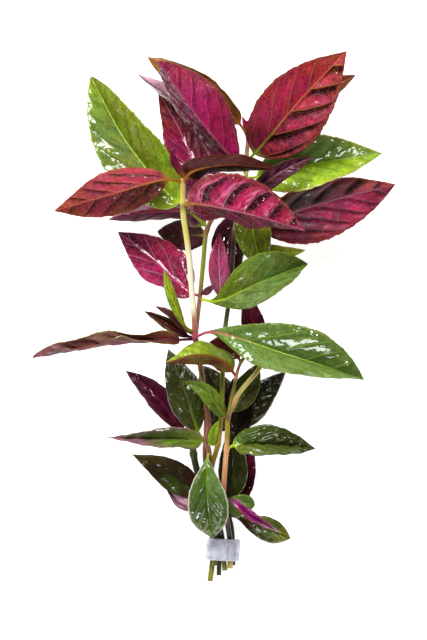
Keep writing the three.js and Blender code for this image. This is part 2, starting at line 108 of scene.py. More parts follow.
class Tint(Enum):
    """Colours of the plant and its strip, as sRGB hex values."""

    LIME = "#9cbc20"
    CHARTREUSE = "#84a024"
    OLIVE = "#7c7a1c"
    MOSS = "#687a1c"
    GRASS = "#5d7c22"
    SAGE = "#647e3c"
    FOREST = "#4a6420"
    FERN = "#40541a"
    BOTTLE = "#333b13"
    PINE = "#23240d"
    INK = "#121107"
    KHAKI = "#46430e"
    ROSE = "#b3284a"
    CRIMSON = "#9c1c40"
    CERISE = "#9a1a50"
    MAGENTA = "#8d1448"
    GARNET = "#781632"
    WINE = "#5f1230"
    MAROON = "#43101c"
    SHADOW = "#220a0e"
    PLUM = "#471432"
    ORCHID = "#8c1f78"
    MAUVE = "#94365a"
    DUSK = "#6a4250"
    HEATHER = "#8c5468"
    CLAY = "#8a5f58"
    BLUSH = "#cf9fb4"
    PETAL = "#bc6c88"
    FUCHSIA = "#a83466"
    BRICK = "#a13c30"
    EMBER = "#863022"
    RUST = "#743c12"
    OCHRE = "#9a6424"
    COPPER = "#a85438"
    APRICOT = "#b4663c"
    BRONZE = "#743a20"
    BARK = "#5f2c1c"
    UMBER = "#3a180f"
    CREAM = "#e6dfc0"
    STRAW = "#c8ba62"
    PEACH = "#d49a66"
    CORAL = "#b4505c"
    TAN = "#a06a4c"
    MUSTARD = "#9a8420"
    STEM_GREEN = "#74801a"
    STEM_OLIVE = "#7c5f30"
    STEM_BROWN = "#7a4630"
    # Painted shade, on the stems just above the strip
    PAINTED_STEM_SHADE = "#26231f"
    LAVENDER_GREY = "#cccddb"
    PALE_FLOOR = "#fbfafa"


def linear(tint: Tint) -> tuple[float, float, float, float]:
    """Turns a tint's sRGB hex value into a linear colour.

    Args:
        tint: the named colour.

    Returns:
        Red, green and blue in linear light, and an alpha of one.
    """
    text = tint.value.lstrip("#")
    parts = [int(text[i:i + 2], 16) / 255 for i in (0, 2, 4)]
    red, green, blue = (
        part / 12.92 if part <= 0.04045 else ((part + 0.055) / 1.055) ** 2.4 for part in parts
    )
    return red, green, blue, 1.0


def add(tree: Tree, kind: str, inputs: dict[int | str, Any] | tuple = (),
        **settings: Any) -> Node:
    """Adds a node to a tree, with its settings, values and links.

    Args:
        tree: the node tree.
        kind: the node's type name.
        inputs: a value, a socket or a node for each input, in order or by name or identifier. A
            node stands for its first live output. A map range takes its value, where it comes
            from, low and high, and what it becomes there.
        settings: the node's own properties.

    Returns:
        The new node.
    """
    node = tree.nodes.new(kind)
    for key, value in settings.items():
        setattr(node, key, value)
    for key, value in inputs.items() if isinstance(inputs, dict) else enumerate(inputs):
        if isinstance(key, int):
            socket = node.inputs[key]
        else:
            socket = next(s for s in node.inputs if key in (s.identifier, s.name))
        if isinstance(value, Node):
            value = next(s for s in value.outputs if s.enabled)
        if isinstance(value, bpy.types.NodeSocket):
            tree.links.new(value, socket)
        else:
            socket.default_value = value
    return node


def layered(tree: Tree, start: Any, layers: tuple[tuple[Any, Any], ...]) -> Node:
    """Lays colours over a first one.

    Args:
        tree: the node tree.
        start: the lowest colour.
        layers: the share and the colour of each layer, from the lowest up.

    Returns:
        The node that gives the colour on top.
    """
    for share, colour in layers:
        start = add(tree, "ShaderNodeMix", {
            "Factor_Float": share, "A_Color": start, "B_Color": colour,
        }, data_type="RGBA")
    return start


def product(tree: Tree, factors: list[Any]) -> Node:
    """Multiplies three or more factors together, in their order.

    Args:
        tree: the node tree.
        factors: the nodes, sockets and numbers to multiply.

    Returns:
        The node that gives the product.
    """
    made = factors[0]
    for factor in factors[1:]:
        made = add(tree, MATH, (made, factor), operation="MULTIPLY")
    return made


def bare_material(name: str) -> tuple[Material, Tree]:
    """Makes a material without nodes.

    Args:
        name: the material's name.

    Returns:
        The material and its empty tree.
    """
    material = bpy.data.materials.new(name)
    material.use_nodes = True
    material.node_tree.nodes.clear()
    return material, material.node_tree


def placed(name: str, data: bpy.types.ID) -> bpy.types.Object:
    """Makes an object at the origin and links it to the scene.

    Args:
        name: the object's name.
        data: the mesh, light or camera in it.

    Returns:
        The linked object.
    """
    made = bpy.data.objects.new(name, data)
    bpy.context.scene.collection.objects.link(made)
    return made


def smooth(values: Array, low: float, high: float) -> Array:
    """A smooth step from 0 at low to 1 at high."""
    share = np.clip((values - low) / (high - low), 0.0, 1.0)
    return share * share * (3 - 2 * share)


def unit(vectors: Array) -> Array:
    """The vectors scaled to length one."""
    return vectors / np.maximum(np.linalg.norm(vectors, axis=-1, keepdims=True), 1e-9)


def along_line(line: Array) -> Array:
    """The length run at each point of a line of straight pieces."""
    return np.concatenate([[0], np.cumsum(np.linalg.norm(np.diff(line, axis=0), axis=1))])


def blended(places: Array, stops: Array, tints: tuple[Tint, ...]) -> Array:
    """Blends tints between their stops, in linear light.

    Args:
        places: where colours are wanted.
        stops: where each tint is pure.
        tints: the tints, one for each stop.

    Returns:
        A colour for each place, along a new last axis.
    """
    colours = np.array([linear(tint) for tint in tints])
    return np.stack([np.interp(places, stops, colours[:, k]) for k in range(4)], axis=-1)


@dataclass(frozen=True)
class SmoothLine:
    """A centripetal Catmull-Rom line through points, read by its arc length."""

    points: tuple[Point, ...]

    def dense(self) -> Array:
        """Finds close points along the whole line.

        Returns:
            The points, one row each, with the last given one at the end.
        """
        given = np.array(self.points, float)
        ends = [2 * given[0] - given[1], 2 * given[-1] - given[-2]]
        padded = np.vstack([ends[0], given, ends[1]])
        steps = np.linspace(0, 1, SPLINE_STEPS, endpoint=False)[:, None]
        pieces = []
        for i in range(len(given) - 1):
            p0, p1, p2, p3 = padded[i:i + 4]
            d0, d1, d2 = (np.linalg.norm(b - a) ** 0.5 for a, b in ((p0, p1), (p1, p2), (p2, p3)))
            start = ((p1 - p0) / d0 - (p2 - p0) / (d0 + d1) + (p2 - p1) / d1) * d1
            end = ((p2 - p1) / d1 - (p3 - p1) / (d1 + d2) + (p3 - p2) / d2) * d1
            square = -3 * p1 + 3 * p2 - 2 * start - end
            cube = 2 * p1 - 2 * p2 + start + end
            pieces.append(p1 + start * steps + square * steps ** 2 + cube * steps ** 3)
        return np.vstack([*pieces, given[-1:]])

    def at(self, shares: Array) -> tuple[Array, Array, float]:
        """Reads the line at shares of its length.

        Args:
            shares: shares from 0 to 1.

        Returns:
            The points, the unit tangents and the whole length.
        """
        line = self.dense()
        run = along_line(line)
        slopes = unit(np.gradient(line, axis=0))
        points, tangents = (
            np.stack([np.interp(shares * run[-1], run, rows[:, k]) for k in range(3)], axis=1)
            for rows in (line, slopes))
        return points, unit(tangents), float(run[-1])

    @property
    def length(self) -> float:
        """The length of the whole line."""
        return float(along_line(self.dense())[-1])


class LeafKind(Enum):
    """The families of leaf finish."""

    GREEN = "green_leaf"
    LIME = "lime_leaf"
    CRIMSON = "crimson_leaf"
    BRONZE = "bronze_leaf"
    MAROON = "maroon_leaf"
    MAUVE = "mauve_leaf"


Skins = dict[LeafKind, tuple[Material, Material]]


@dataclass(frozen=True)
class Outline:
    """A leaf's outline seen flat.

    The stalk is a share of the leaf's length, and the blade is widest at a share of its own. More
    fullness makes its foot and tip finer. The edge waves by a share of the half width.
    """

    stalk: float
    widest: float
    fullness: float
    wave: float = 0.07
    waves: float = 1.5


class LeafShape(Enum):
    """The outlines that the leaves of this plant have."""

    OVAL = Outline(0.13, 0.42, 1.7)
    OVATE = Outline(0.08, 0.4, 1.8)
    ELLIPTIC = Outline(0.1, 0.5, 1.7)
    BROAD = Outline(0.03, 0.42, 1.45, 0.06)
    TAPERED = Outline(0.06, 0.35, 1.8)
    NECKED = Outline(0.07, 0.6, 2.4)
    BLUNT = Outline(0.08, 0.42, 0.95, 0.05)
    WAVY = Outline(0.1, 0.42, 1.0, 0.26, 2.7)


@dataclass(frozen=True)
class LeafSurface:
    """The living skin of one family of leaves: a waxy cuticle, wet in places.

    The film of water gives hard white patches that the swellings of the blade break up, and the
    cuticle below it a faint satin. Lateral and net say how clear the veins and the fine net are.
    Shade and glow paint shade and light on the two sides of each hollow, by how it faces the
    window, and the groove paints shade along its veins.
    Mottle, grain and streak say how much each pattern changes the colour. The flush is the share
    of the margin's tint in the outer blade. Ripples break up the film, and their height is a
    share of their size.
    """

    name: str
    roughness: float = 0.45
    satin: float = 0.16
    lateral: float = 0.7
    net: float = 0.25
    painted_shade: float = 0.35
    glow: float = 0.12
    painted_groove_shade: float = 0.2
    mottle: float = 0.2
    grain: float = 0.12
    streak: float = 0.12
    flush: float = 0.25
    ripple_height: float = 0.05

    def material(self) -> Material:
        """Builds the procedural material."""
        return LeafSkinNodes(self).material


class LeafSkinNodes:
    """The shader nodes of one leaf surface, which follow the blade's own chart.

    The patterns' scales are in cycles a millimetre of the chart.
    """

    CUTICLE_IOR = 1.42
    # Above water's 1.33, because the wet wax below the film adds to its glint
    FILM_IOR = 1.55
    FILM_ROUGHNESS = 0.04
    RIPPLE_SIZE = 5.0
    NET_SCALE = 0.32
    NET_BEND = (1.6, 1.6, 0)
    STREAK_SCALES = (7.0, 3.0, 1.0)
    SKIN_BUMP = 0.22
    SKIN_STREAKS = 0.6
    SKIN_VEINS = 0.5
    FILM_STREAKS = 0.08
    FILM_VEINS = 0.12
    FILM_TEARS = 0.36
    VEIN_CREST = 0.01
    NET_WIDTH = 0.09
    MARGIN_WIDTH = 0.1
    MARGIN_SHARE = 0.85

    # Where a mask starts and ends, and what it is there when not 0 and 1
    FILM_EDGE = (0.64, 0.7, 0.04, 1.0)
    VEIN_FADE = (0.6, 0.97)
    MIDRIB_TAPER = (0.0, 1.0, 0.8, 0.2)
    MIDRIB_EDGE = (0.5, 1.2, 0.9, 0.0)
    PATCH_EDGE = (0.42, 0.6)
    FLUSH_REACH = (0.5, 1.0)
    HUE_DRIFT = (0.3, 0.7, 0.488, 0.512)
    RIB_FOOT = (0.05, 0.45, 1.0, 0.0)
    STALK_TOP = (-0.02, 0.07, 1.0, 0.0)
    # LIT_SIDE and FOLD_EDGE place the painted highlights, and the groove, shade and glow reaches
    # place the painted shade and light
    LIT_SIDE = (-0.1, -0.6)
    FOLD_EDGE = (0.46, 0.58)
    PATTERN_SPREAD = (0.3, 0.7)
    GROOVE_REACH = (0.0, 0.6)
    SHADE_REACH = (0.0, 0.5)
    GLOW_REACH = (0.0, -0.6)

    # Each pattern's scale, detail, roughness and distortion. The grain is of about 1.2 mm: real
    # cells are far finer, but these still show at this size. The swellings break up the bright
    # patches of the film, and the hue drifts over some 15 mm
    PATTERNS = {
        "grain": (0.85, 2.0, 0.5, 0.0),
        "tears": (0.35, 4.0, 0.6, 0.0),
        "bends": (0.35, 1.0, 0.5, 0.0),
        "swell": (1 / RIPPLE_SIZE, 1.0, 0.5, 0.4),
        "clouds": (0.13, 5.0, 0.66, 0.0),
        "blotches": (0.22, 6.0, 0.66, 0.0),
        "drift": (0.07, 2.0, 0.5, 0.0),
    }

    READ = {
        "Vector": ("chart",),
        "Color": ("tint", "vein_tint", "stalk_tint", "margin_tint", "patch_tint"),
        "Fac": ("across", "along", "vein_phase", "ridge", "midrib", "wet", "painted_light_and_shade", "puff", "painted_highlight_folds"),
    }

    def __init__(self, surface: LeafSurface) -> None:
        """Builds the material from its surface.

        Args:
            surface: the finish of the family.
        """
        self.surface = surface
        self.material, self.tree = bare_material(surface.name)
        tree = self.tree
        self.given = {
            name: add(tree, "ShaderNodeAttribute", attribute_name=name).outputs[output]
            for output, names in self.READ.items() for name in names}
        self.patterns = {
            name: add(tree, NOISE, {
                "Vector": self.given["chart"], "Scale": scale, "Detail": detail,
                "Roughness": roughness, "Distortion": distortion,
            }) for name, (scale, detail, roughness, distortion) in self.PATTERNS.items()}
        self.reach = add(tree, MATH, (self.given["across"],), operation="ABSOLUTE")
        where = add(tree, "ShaderNodeCombineXYZ", (self.given["vein_phase"], self.given["across"]))
        drawn = add(tree, VECTOR_MATH, (where, self.STREAK_SCALES), operation="MULTIPLY")
        self.streaks = add(tree, NOISE, {"Vector": drawn, "Scale": 1.0, "Detail": 3.0,
                                         "Distortion": 0.8})
        self.veins = self.vein_mask()
        skin = add(tree, MATH, (self.streaks, self.SKIN_STREAKS, self.patterns["grain"]),
                   operation="MULTIPLY_ADD")
        ripple = add(tree, MATH, (self.streaks, self.FILM_STREAKS, self.patterns["swell"]),
                     operation="MULTIPLY_ADD")
        shader = add(tree, "ShaderNodeBsdfPrincipled", {
            "Base Color": self.colour(),
            "Roughness": surface.roughness,
            "IOR": self.CUTICLE_IOR,
            "Specular IOR Level": surface.satin,
            "Coat Weight": self.film(),
            "Coat Roughness": self.FILM_ROUGHNESS,
            "Coat IOR": self.FILM_IOR,
            "Normal": self.bump(skin, self.SKIN_VEINS, self.SKIN_BUMP),
            "Coat Normal": self.bump(ripple, self.FILM_VEINS,
                                     surface.ripple_height * self.RIPPLE_SIZE),
        })
        add(tree, "ShaderNodeOutputMaterial", {"Surface": shader})

    def film(self) -> Node:
        """Says how wet each spot is, with the film of water torn at its edges.

        Returns:
            A node whose value is the film's weight.
        """
        level = add(self.tree, MATH, (self.given["wet"], self.FILM_TEARS, self.patterns["tears"]),
                    operation="MULTIPLY_ADD")
        return add(self.tree, MAP_RANGE, (level, *self.FILM_EDGE), interpolation_type=SMOOTH)

    def bump(self, height: Node, vein_share: float, millimetres: float) -> Node:
        """Turns a height and the raised veins into a bumped normal.

        Args:
            height: the height, from 0 to 1.
            vein_share: how high a vein stands in it.
            millimetres: the height of one.

        Returns:
            The bump node.
        """
        veined = add(self.tree, MATH, (self.veins, vein_share, height), operation="MULTIPLY_ADD")
        return add(self.tree, "ShaderNodeBump", {
            "Height": veined, "Strength": 1.0, "Distance": millimetres * MM,
        })

    def vein_mask(self) -> Node:
        """Draws the lateral veins and the fine net between them.

        Returns:
            A node whose value is 1 on a vein and 0 between veins.
        """
        tree, given = self.tree, self.given
        gap = add(tree, MATH, (given["vein_phase"], 0.5), operation="PINGPONG")
        line = add(tree, MAP_RANGE, (gap, self.VEIN_CREST, given["ridge"], 1.0, 0.0),
                   interpolation_type=SMOOTH)
        fade = add(tree, MAP_RANGE, (self.reach, *self.VEIN_FADE, self.surface.lateral, 0.0))
        pushed = add(tree, VECTOR_MATH,
                     (self.patterns["bends"].outputs["Color"], self.NET_BEND),
                     operation="MULTIPLY")
        moved = add(tree, VECTOR_MATH, (given["chart"], pushed), operation="ADD")
        cells = add(tree, "ShaderNodeTexVoronoi", {"Vector": moved, "Scale": self.NET_SCALE},
                    feature="DISTANCE_TO_EDGE")
        net = add(tree, MAP_RANGE, (cells, 0.0, self.NET_WIDTH, self.surface.net, 0.0))
        lateral = add(tree, MATH, (line, fade), operation="MULTIPLY")
        return add(tree, MATH, (lateral, net), operation="MAXIMUM")

    def midrib(self) -> Node:
        """Draws the midrib, which narrows towards the tip.

        Returns:
            A node whose value is near 1 on the midrib.
        """
        tree, given = self.tree, self.given
        sideways = add(tree, "ShaderNodeSeparateXYZ", (given["chart"],)).outputs["Y"]
        offset = add(tree, MATH, (sideways,), operation="ABSOLUTE")
        width = add(tree, MAP_RANGE, (given["along"], *self.MIDRIB_TAPER))
        widened = add(tree, MATH, (width, given["midrib"]), operation="MULTIPLY")
        share = add(tree, MATH, (offset, widened), operation="DIVIDE")
        return add(tree, MAP_RANGE, (share, *self.MIDRIB_EDGE), interpolation_type=SMOOTH)

    def colour(self) -> Node:
        """Lays blotches, painted shade and light on the hollows, painted highlights, veins, the
        margin and the stalk over the leaf's own tint.

        Returns:
            The node that gives the colour.
        """
        tree, given = self.tree, self.given
        vein, rim, stalk = (given[name] for name in ("vein_tint", "margin_tint", "stalk_tint"))
        spread = add(tree, MAP_RANGE, (self.patterns["clouds"], *self.PATCH_EDGE),
                     interpolation_type=SMOOTH)
        patchy = add(tree, MATH, (spread, given["patch_tint"].node.outputs["Alpha"]),
                     operation="MULTIPLY")
        ageing = add(tree, MAP_RANGE, (self.reach, *self.FLUSH_REACH, 0.0, self.surface.flush))
        drift = add(tree, MAP_RANGE, (self.patterns["drift"], *self.HUE_DRIFT))
        blade = add(tree, "ShaderNodeHueSaturation", {
            "Hue": drift,
            "Value": self.value(),
            "Color": layered(tree, given["tint"],
                             ((patchy, given["patch_tint"]), (ageing, rim))),
        })
        at_foot, at_rim, at_stalk = (
            add(tree, MAP_RANGE, ends, interpolation_type=SMOOTH)
            for ends in ((given["along"], *self.RIB_FOOT),
                         (self.reach, 1 - self.MARGIN_WIDTH, 1.0, 0.0, self.MARGIN_SHARE),
                         (given["along"], *self.STALK_TOP)))
        rib = layered(tree, vein, ((at_foot, stalk),))
        # The painted highlights take the vein's tint on the lit side of each hollow
        return layered(tree, blade, (
            (self.painted_highlight_streaks(), vein), (self.veins, vein), (self.midrib(), rib), (at_rim, rim),
            (at_stalk, stalk)))

    def painted_highlight_streaks(self) -> Node:
        """Marks painted highlights: pale streaks like little folds, on the side of each hollow that
        faces the window.

        Returns:
            A node whose value is the painted highlights' share.
        """
        bright, painted_highlight_folds = (
            add(self.tree, MAP_RANGE, ends, interpolation_type=SMOOTH)
            for ends in ((self.given["painted_light_and_shade"], *self.LIT_SIDE), (self.streaks, *self.FOLD_EDGE)))
        return product(self.tree, [bright, painted_highlight_folds, self.given["painted_highlight_folds"]])

    def value(self) -> Node:
        """Makes the blade lighter and darker: blotches, streaks and grain, then painted shade where
        the blade is not puffed and painted shade and light on the two sides of each hollow.

        Returns:
            A node whose value multiplies the colour.
        """
        tree, given, surface = self.tree, self.given, self.surface
        noises = ((self.patterns["blotches"], surface.mottle), (self.streaks, surface.streak),
                  (self.patterns["grain"], surface.grain))
        # Painted shade where the blade is not puffed: beside the veins, the midrib and the margin
        sides = ((given["puff"], *self.GROOVE_REACH, 1 - surface.painted_groove_shade, 1.0),
                 # Painted shade on the steep side and painted light on the gentle side of each
                 # hollow, by how it faces the window
                 (given["painted_light_and_shade"], *self.SHADE_REACH, 1.0, 1 - surface.painted_shade),
                 (given["painted_light_and_shade"], *self.GLOW_REACH, 1.0, 1 + surface.glow))
        return product(tree, [
            *(add(tree, MAP_RANGE, (noise, *self.PATTERN_SPREAD, 1 - amount, 1 + amount))
              for noise, amount in noises),
            *(add(tree, MAP_RANGE, ends, interpolation_type=SMOOTH) for ends in sides)])


LEAF_SURFACES = {
    LeafKind.GREEN: LeafSurface("wet green leaf cuticle", lateral=0.25, net=0.12, painted_shade=0.35,
                                satin=0.1, flush=0.04, grain=0.2, mottle=0.28,
                                ripple_height=0.075),
    LeafKind.LIME: LeafSurface("young lime leaf cuticle", lateral=0.3, net=0.12, painted_shade=0.3,
                               flush=0.1, grain=0.2, mottle=0.28),
    LeafKind.CRIMSON: LeafSurface("quilted crimson leaf cuticle", lateral=0.7, net=0.22,
                                  painted_shade=0.85, glow=0.2, painted_groove_shade=0.1, mottle=0.3, grain=0.26,
                                  streak=0.3, flush=0.3, satin=0.1),
    LeafKind.BRONZE: LeafSurface("satin bronze leaf cuticle", lateral=0.3, net=0.12, painted_shade=0.4),
    LeafKind.MAROON: LeafSurface("wet maroon leaf cuticle", lateral=0.25, net=0.12, painted_shade=0.4,
                                 mottle=0.3, satin=0.08),
    LeafKind.MAUVE: LeafSurface("mauve leaf underside, velvety", lateral=0.5, net=0.2,
                                painted_shade=0.4),
}
UNDERSIDE = LeafSurface("matt leaf underside", roughness=0.46, lateral=0.4, net=0.2, painted_groove_shade=0.1)


@dataclass(frozen=True)
class LeafRelief:
    """How strongly a blade is quilted, in millimetres, with how many pairs of lateral veins.

    A negative quilt has raised veins and hollows between them, as a leaf seen from below has. The
    halves say how much of it the left and the right half show. More slant lays the veins along
    the blade, and more sweep bends them forward near the margin. The ridge is a vein's half width
    as a share of the veins' spacing, and the midrib is widened by its own factor. The folds are the
    share of painted highlights: pale streaks like little folds, painted on the side of each hollow
    that faces the window.
    """

    quilt: float = 0.4
    pairs: float = 6.0
    cells: float = 0.1
    ruffle: float = 0.5
    slants: Pair = (1.0, 1.0)
    sweeps: Pair = (0.8, 0.8)
    halves: Pair = (1.0, 1.0)
    ridge: float = 0.06
    midrib: float = 1.0
    painted_highlight_folds: float = 0.0


QUILTED = LeafRelief(quilt=0.8, cells=0.2)
BLISTERED = LeafRelief(quilt=0.9, cells=0.42)
BROAD_GLOSS = LeafRelief(quilt=0.36, cells=0.1, ruffle=0.35)
GENTLE = LeafRelief(quilt=0.35, cells=0.1, ruffle=0.4, pairs=5.0)
SOFT_RIDGED = LeafRelief(quilt=-0.8, cells=0.12, ridge=0.08)
TOP_RIGHT_RELIEF = LeafRelief(quilt=-2.0, pairs=4.6, cells=0.2, slants=(1.3, 0.9),
                              sweeps=(0.4, 0.8), halves=(0.3, 1.0), ridge=0.055)
SLENDER_RIBBED = LeafRelief(quilt=0.2, cells=0.1, midrib=0.8)
FRONT_RELIEF = LeafRelief(quilt=-1.0, pairs=5.2, cells=0.15, slants=(2.6, 1.2),
                          sweeps=(0.4, 0.6), halves=(0.9, 0.45), ridge=0.06)
RED_RELIEF = LeafRelief(quilt=-1.0, pairs=4.4, cells=0.15, slants=(1.2, 2.0), sweeps=(0.6, 0.5),
                        halves=(0.6, 0.8), ridge=0.04, midrib=0.7)
CENTRE_RELIEF = LeafRelief(quilt=-1.9, pairs=5.4, cells=0.2, slants=(0.15, 1.0),
                           sweeps=(0.65, 0.8), halves=(1.0, 0.2), ridge=0.04, painted_highlight_folds=0.75)
RIGHT_RELIEF = LeafRelief(quilt=-1.3, pairs=4.6, cells=0.15, slants=(1.0, 2.2),
                          sweeps=(0.3, 0.3), halves=(0.9, 0.7), ridge=0.05, painted_highlight_folds=0.15)
LEFT_RELIEF = LeafRelief(quilt=-1.0, pairs=3.6, cells=0.2, slants=(1.5, 1.8),
                         sweeps=(0.6, 0.5), halves=(0.35, 0.5), ridge=0.05, painted_highlight_folds=0.4)
BUD_RELIEF = LeafRelief(quilt=0.1, pairs=4.0, cells=0.05, ruffle=0.1)


class LeafReliefTree:
    """Geometry nodes that quilt a charted blade between its veins and dress its two sides."""

    NUMBERS = {
        "Vein spacing": 10.0,
        "Half width": 15.0,
        "Quilt height": 0.4,
        "Cell height": 0.1,
        "Ruffle height": 0.5,
    }
    SKINS = ("Upper skin", "Lower skin")
    READ = {
        "FLOAT_VECTOR": ("chart", "lift"),
        "FLOAT": ("across", "along", "lean", "swell", "slant", "sweep", "side"),
    }

    # Scales of the patterns in cycles a millimetre, and how far they reach in millimetres
    UNEVEN_SCALE = 0.11
    CELL_SCALE = 0.2
    WANDER_SCALE = 0.08
    WANDER = 5.0
    HALF_SHIFT = 1.3
    RUFFLE_SCALE = 0.13
    RUFFLE_STRETCH = (1, 0.15, 1)
    RUFFLE_RISE = 2.5
    RUFFLE_GAIN = 6.0
    # How far a hollow's highest point moves as it leans, and how full its arch is
    LEAN_SKEW = 1.3
    ARCH_FULLNESS = 0.75
    BELOW = -0.2

    # Where a mask starts and ends, and what it is there when not 0 and 1
    BESIDE_RIB = (0.0, 0.16)
    BEFORE_MARGIN = (0.98, 0.7)
    ABOVE_FOOT = (0.02, 0.14)
    BEFORE_TIP = (0.99, 0.86)
    CELL_DOME = (0.0, 0.5)
    UNEVEN = (0.32, 0.68, 0.75, 1.35)

    def __init__(self) -> None:
        """Builds the tree once for all leaves."""
        self.tree = bpy.data.node_groups.new("leaf relief", "GeometryNodeTree")
        face = self.tree.interface
        face.new_socket("Geometry", in_out="INPUT", socket_type="NodeSocketGeometry")
        for name, value in self.NUMBERS.items():
            socket = face.new_socket(name, in_out="INPUT", socket_type="NodeSocketFloat")
            socket.default_value = value
        for name in self.SKINS:
            face.new_socket(name, in_out="INPUT", socket_type="NodeSocketMaterial")
        face.new_socket("Geometry", in_out="OUTPUT", socket_type="NodeSocketGeometry")
        self.given = self.tree.nodes.new("NodeGroupInput").outputs
        self.read = {
            name: add(self.tree, "GeometryNodeInputNamedAttribute", {"Name": name}, data_type=kind)
            for kind, names in self.READ.items() for name in names}
        self.build()

    def build(self) -> None:
        """Adds the nodes from the blade's chart to the finished skin."""
        tree, given, read = self.tree, self.given, self.read
        phase = self.vein_phase()
        reach = add(tree, MATH, (read["across"],), operation="ABSOLUTE")
        between = add(tree, MATH, (phase,), operation="FRACT")
        leaning = add(tree, MATH, (read["lean"], self.LEAN_SKEW), operation="MULTIPLY")
        skew = add(tree, MATH, (2.0, leaning), operation="POWER")
        skewed = add(tree, MATH, (between, skew), operation="POWER")
        turn = add(tree, MATH, (skewed, math.pi), operation="MULTIPLY")
        hump = add(tree, MATH, (turn,), operation="SINE")
        rounded = add(tree, MATH, (hump, 0.0), operation="MAXIMUM")
        arch = add(tree, MATH, (rounded, self.ARCH_FULLNESS), operation="POWER")
        cells = add(tree, "ShaderNodeTexVoronoi", {
            "Vector": read["chart"], "Scale": self.CELL_SCALE,
        }, feature="DISTANCE_TO_EDGE")
        inner, outer, foot, tip, dome = (
            add(tree, MAP_RANGE, ends, interpolation_type=SMOOTH)
            for ends in ((reach, *self.BESIDE_RIB), (reach, *self.BEFORE_MARGIN),
                         (read["along"], *self.ABOVE_FOOT), (read["along"], *self.BEFORE_TIP),
                         (cells, *self.CELL_DOME)))
        ends = add(tree, MATH, (foot, tip), operation="MULTIPLY")
        band = add(tree, MATH, (inner, outer), operation="MULTIPLY")
        inside = add(tree, MATH, (band, ends), operation="MULTIPLY")
        puff = add(tree, MATH, (arch, inside), operation="MULTIPLY")
        uneven = add(tree, NOISE, {"Vector": read["chart"], "Scale": self.UNEVEN_SCALE,
                                   "Detail": 1.0})
        varied = add(tree, MAP_RANGE, (uneven, *self.UNEVEN))
        amount = add(tree, MATH, (varied, read["swell"]), operation="MULTIPLY")
        quilted = product(tree, [puff, given["Quilt height"], amount])
        domes = add(tree, MATH, (dome, inside), operation="MULTIPLY")
        celled = add(tree, MATH, (domes, given["Cell height"], quilted), operation="MULTIPLY_ADD")
        height = add(tree, MATH, (self.ruffle(reach, ends), celled), operation="ADD")
        metres = add(tree, MATH, (height, MM), operation="MULTIPLY")
        offset = add(tree, VECTOR_MATH, {0: read["lift"], "Scale": metres}, operation="SCALE")
        # Painted shade and light: each hollow's two sides, signed by how the hollow leans towards
        # the window, for the skin to darken one and lighten the other
        centred = add(tree, MATH, (between, 0.5), operation="SUBTRACT")
        painted_light_and_shade = product(tree, [centred, read["lean"], inside, 2.0, amount])
        made = add(tree, "GeometryNodeSetPosition", {
            "Geometry": given["Geometry"], "Offset": offset,
        })
        for name, value in (("vein_phase", phase), ("puff", puff), ("painted_light_and_shade", painted_light_and_shade)):
            made = add(tree, "GeometryNodeStoreNamedAttribute", {
                "Geometry": made, "Name": name, "Value": value,
            }, data_type="FLOAT")
        self.dress(made)

    def vein_phase(self) -> Node:
        """Counts the lateral veins along the blade, swept forward towards the margin.

        Returns:
            A node whose value is a whole number on each lateral vein.
        """
        tree, given, read = self.tree, self.given, self.read
        split = add(tree, "ShaderNodeSeparateXYZ", (read["chart"],)).outputs
        distance = add(tree, MATH, (split["Y"],), operation="ABSOLUTE")
        swept = product(tree, [distance, distance, read["sweep"]])
        curved = add(tree, MATH, (swept, given["Half width"]), operation="DIVIDE")
        forward = add(tree, MATH, (distance, read["slant"], curved), operation="MULTIPLY_ADD")
        wander = add(tree, NOISE, {"Vector": read["chart"], "Scale": self.WANDER_SCALE,
                                   "Detail": 1.0})
        strayed = add(tree, MATH, (wander, self.WANDER, split["X"]), operation="MULTIPLY_ADD")
        start = add(tree, MATH, (strayed, forward), operation="SUBTRACT")
        half = add(tree, MATH, (split["Y"],), operation="SIGN")
        shifted = add(tree, MATH, (half, self.HALF_SHIFT, start), operation="MULTIPLY_ADD")
        return add(tree, MATH, (shifted, given["Vein spacing"]), operation="DIVIDE")

    def ruffle(self, reach: Node, ends: Node) -> Node:
        """Waves the blade's margin.

        Args:
            reach: 0 at the midrib and 1 at the margin.
            ends: 1 along the blade and 0 at its foot and tip.

        Returns:
            A node whose value is the wave's height in millimetres.
        """
        tree = self.tree
        still = add(tree, VECTOR_MATH, (self.read["chart"], self.RUFFLE_STRETCH),
                    operation="MULTIPLY")
        waves = add(tree, NOISE, {"Vector": still, "Scale": self.RUFFLE_SCALE, "Detail": 1.0})
        centred = add(tree, MATH, (waves, 0.5), operation="SUBTRACT")
        rise = add(tree, MATH, (reach, self.RUFFLE_RISE), operation="POWER")
        return product(tree, [centred, rise, ends, self.RUFFLE_GAIN,
                              self.given["Ruffle height"]])

    def dress(self, geometry: Node) -> None:
        """Realizes the blade, smooths it and gives each side its skin.

        Args:
            geometry: the node that gives the quilted blade.
        """
        tree, given = self.tree, self.given
        below = add(tree, "FunctionNodeCompare", (self.read["side"], self.BELOW),
                    operation="LESS_THAN", data_type="FLOAT")
        smoothed = add(tree, "GeometryNodeSetShadeSmooth", {"Geometry": geometry})
        real = add(tree, "GeometryNodeRealizeInstances", {"Geometry": smoothed})
        upper = add(tree, "GeometryNodeSetMaterial", {
            "Geometry": real, "Material": given["Upper skin"],
        })
        lower = add(tree, "GeometryNodeSetMaterial", {
            "Geometry": upper, "Selection": below, "Material": given["Lower skin"],
        })
        add(tree, "NodeGroupOutput", {"Geometry": lower})


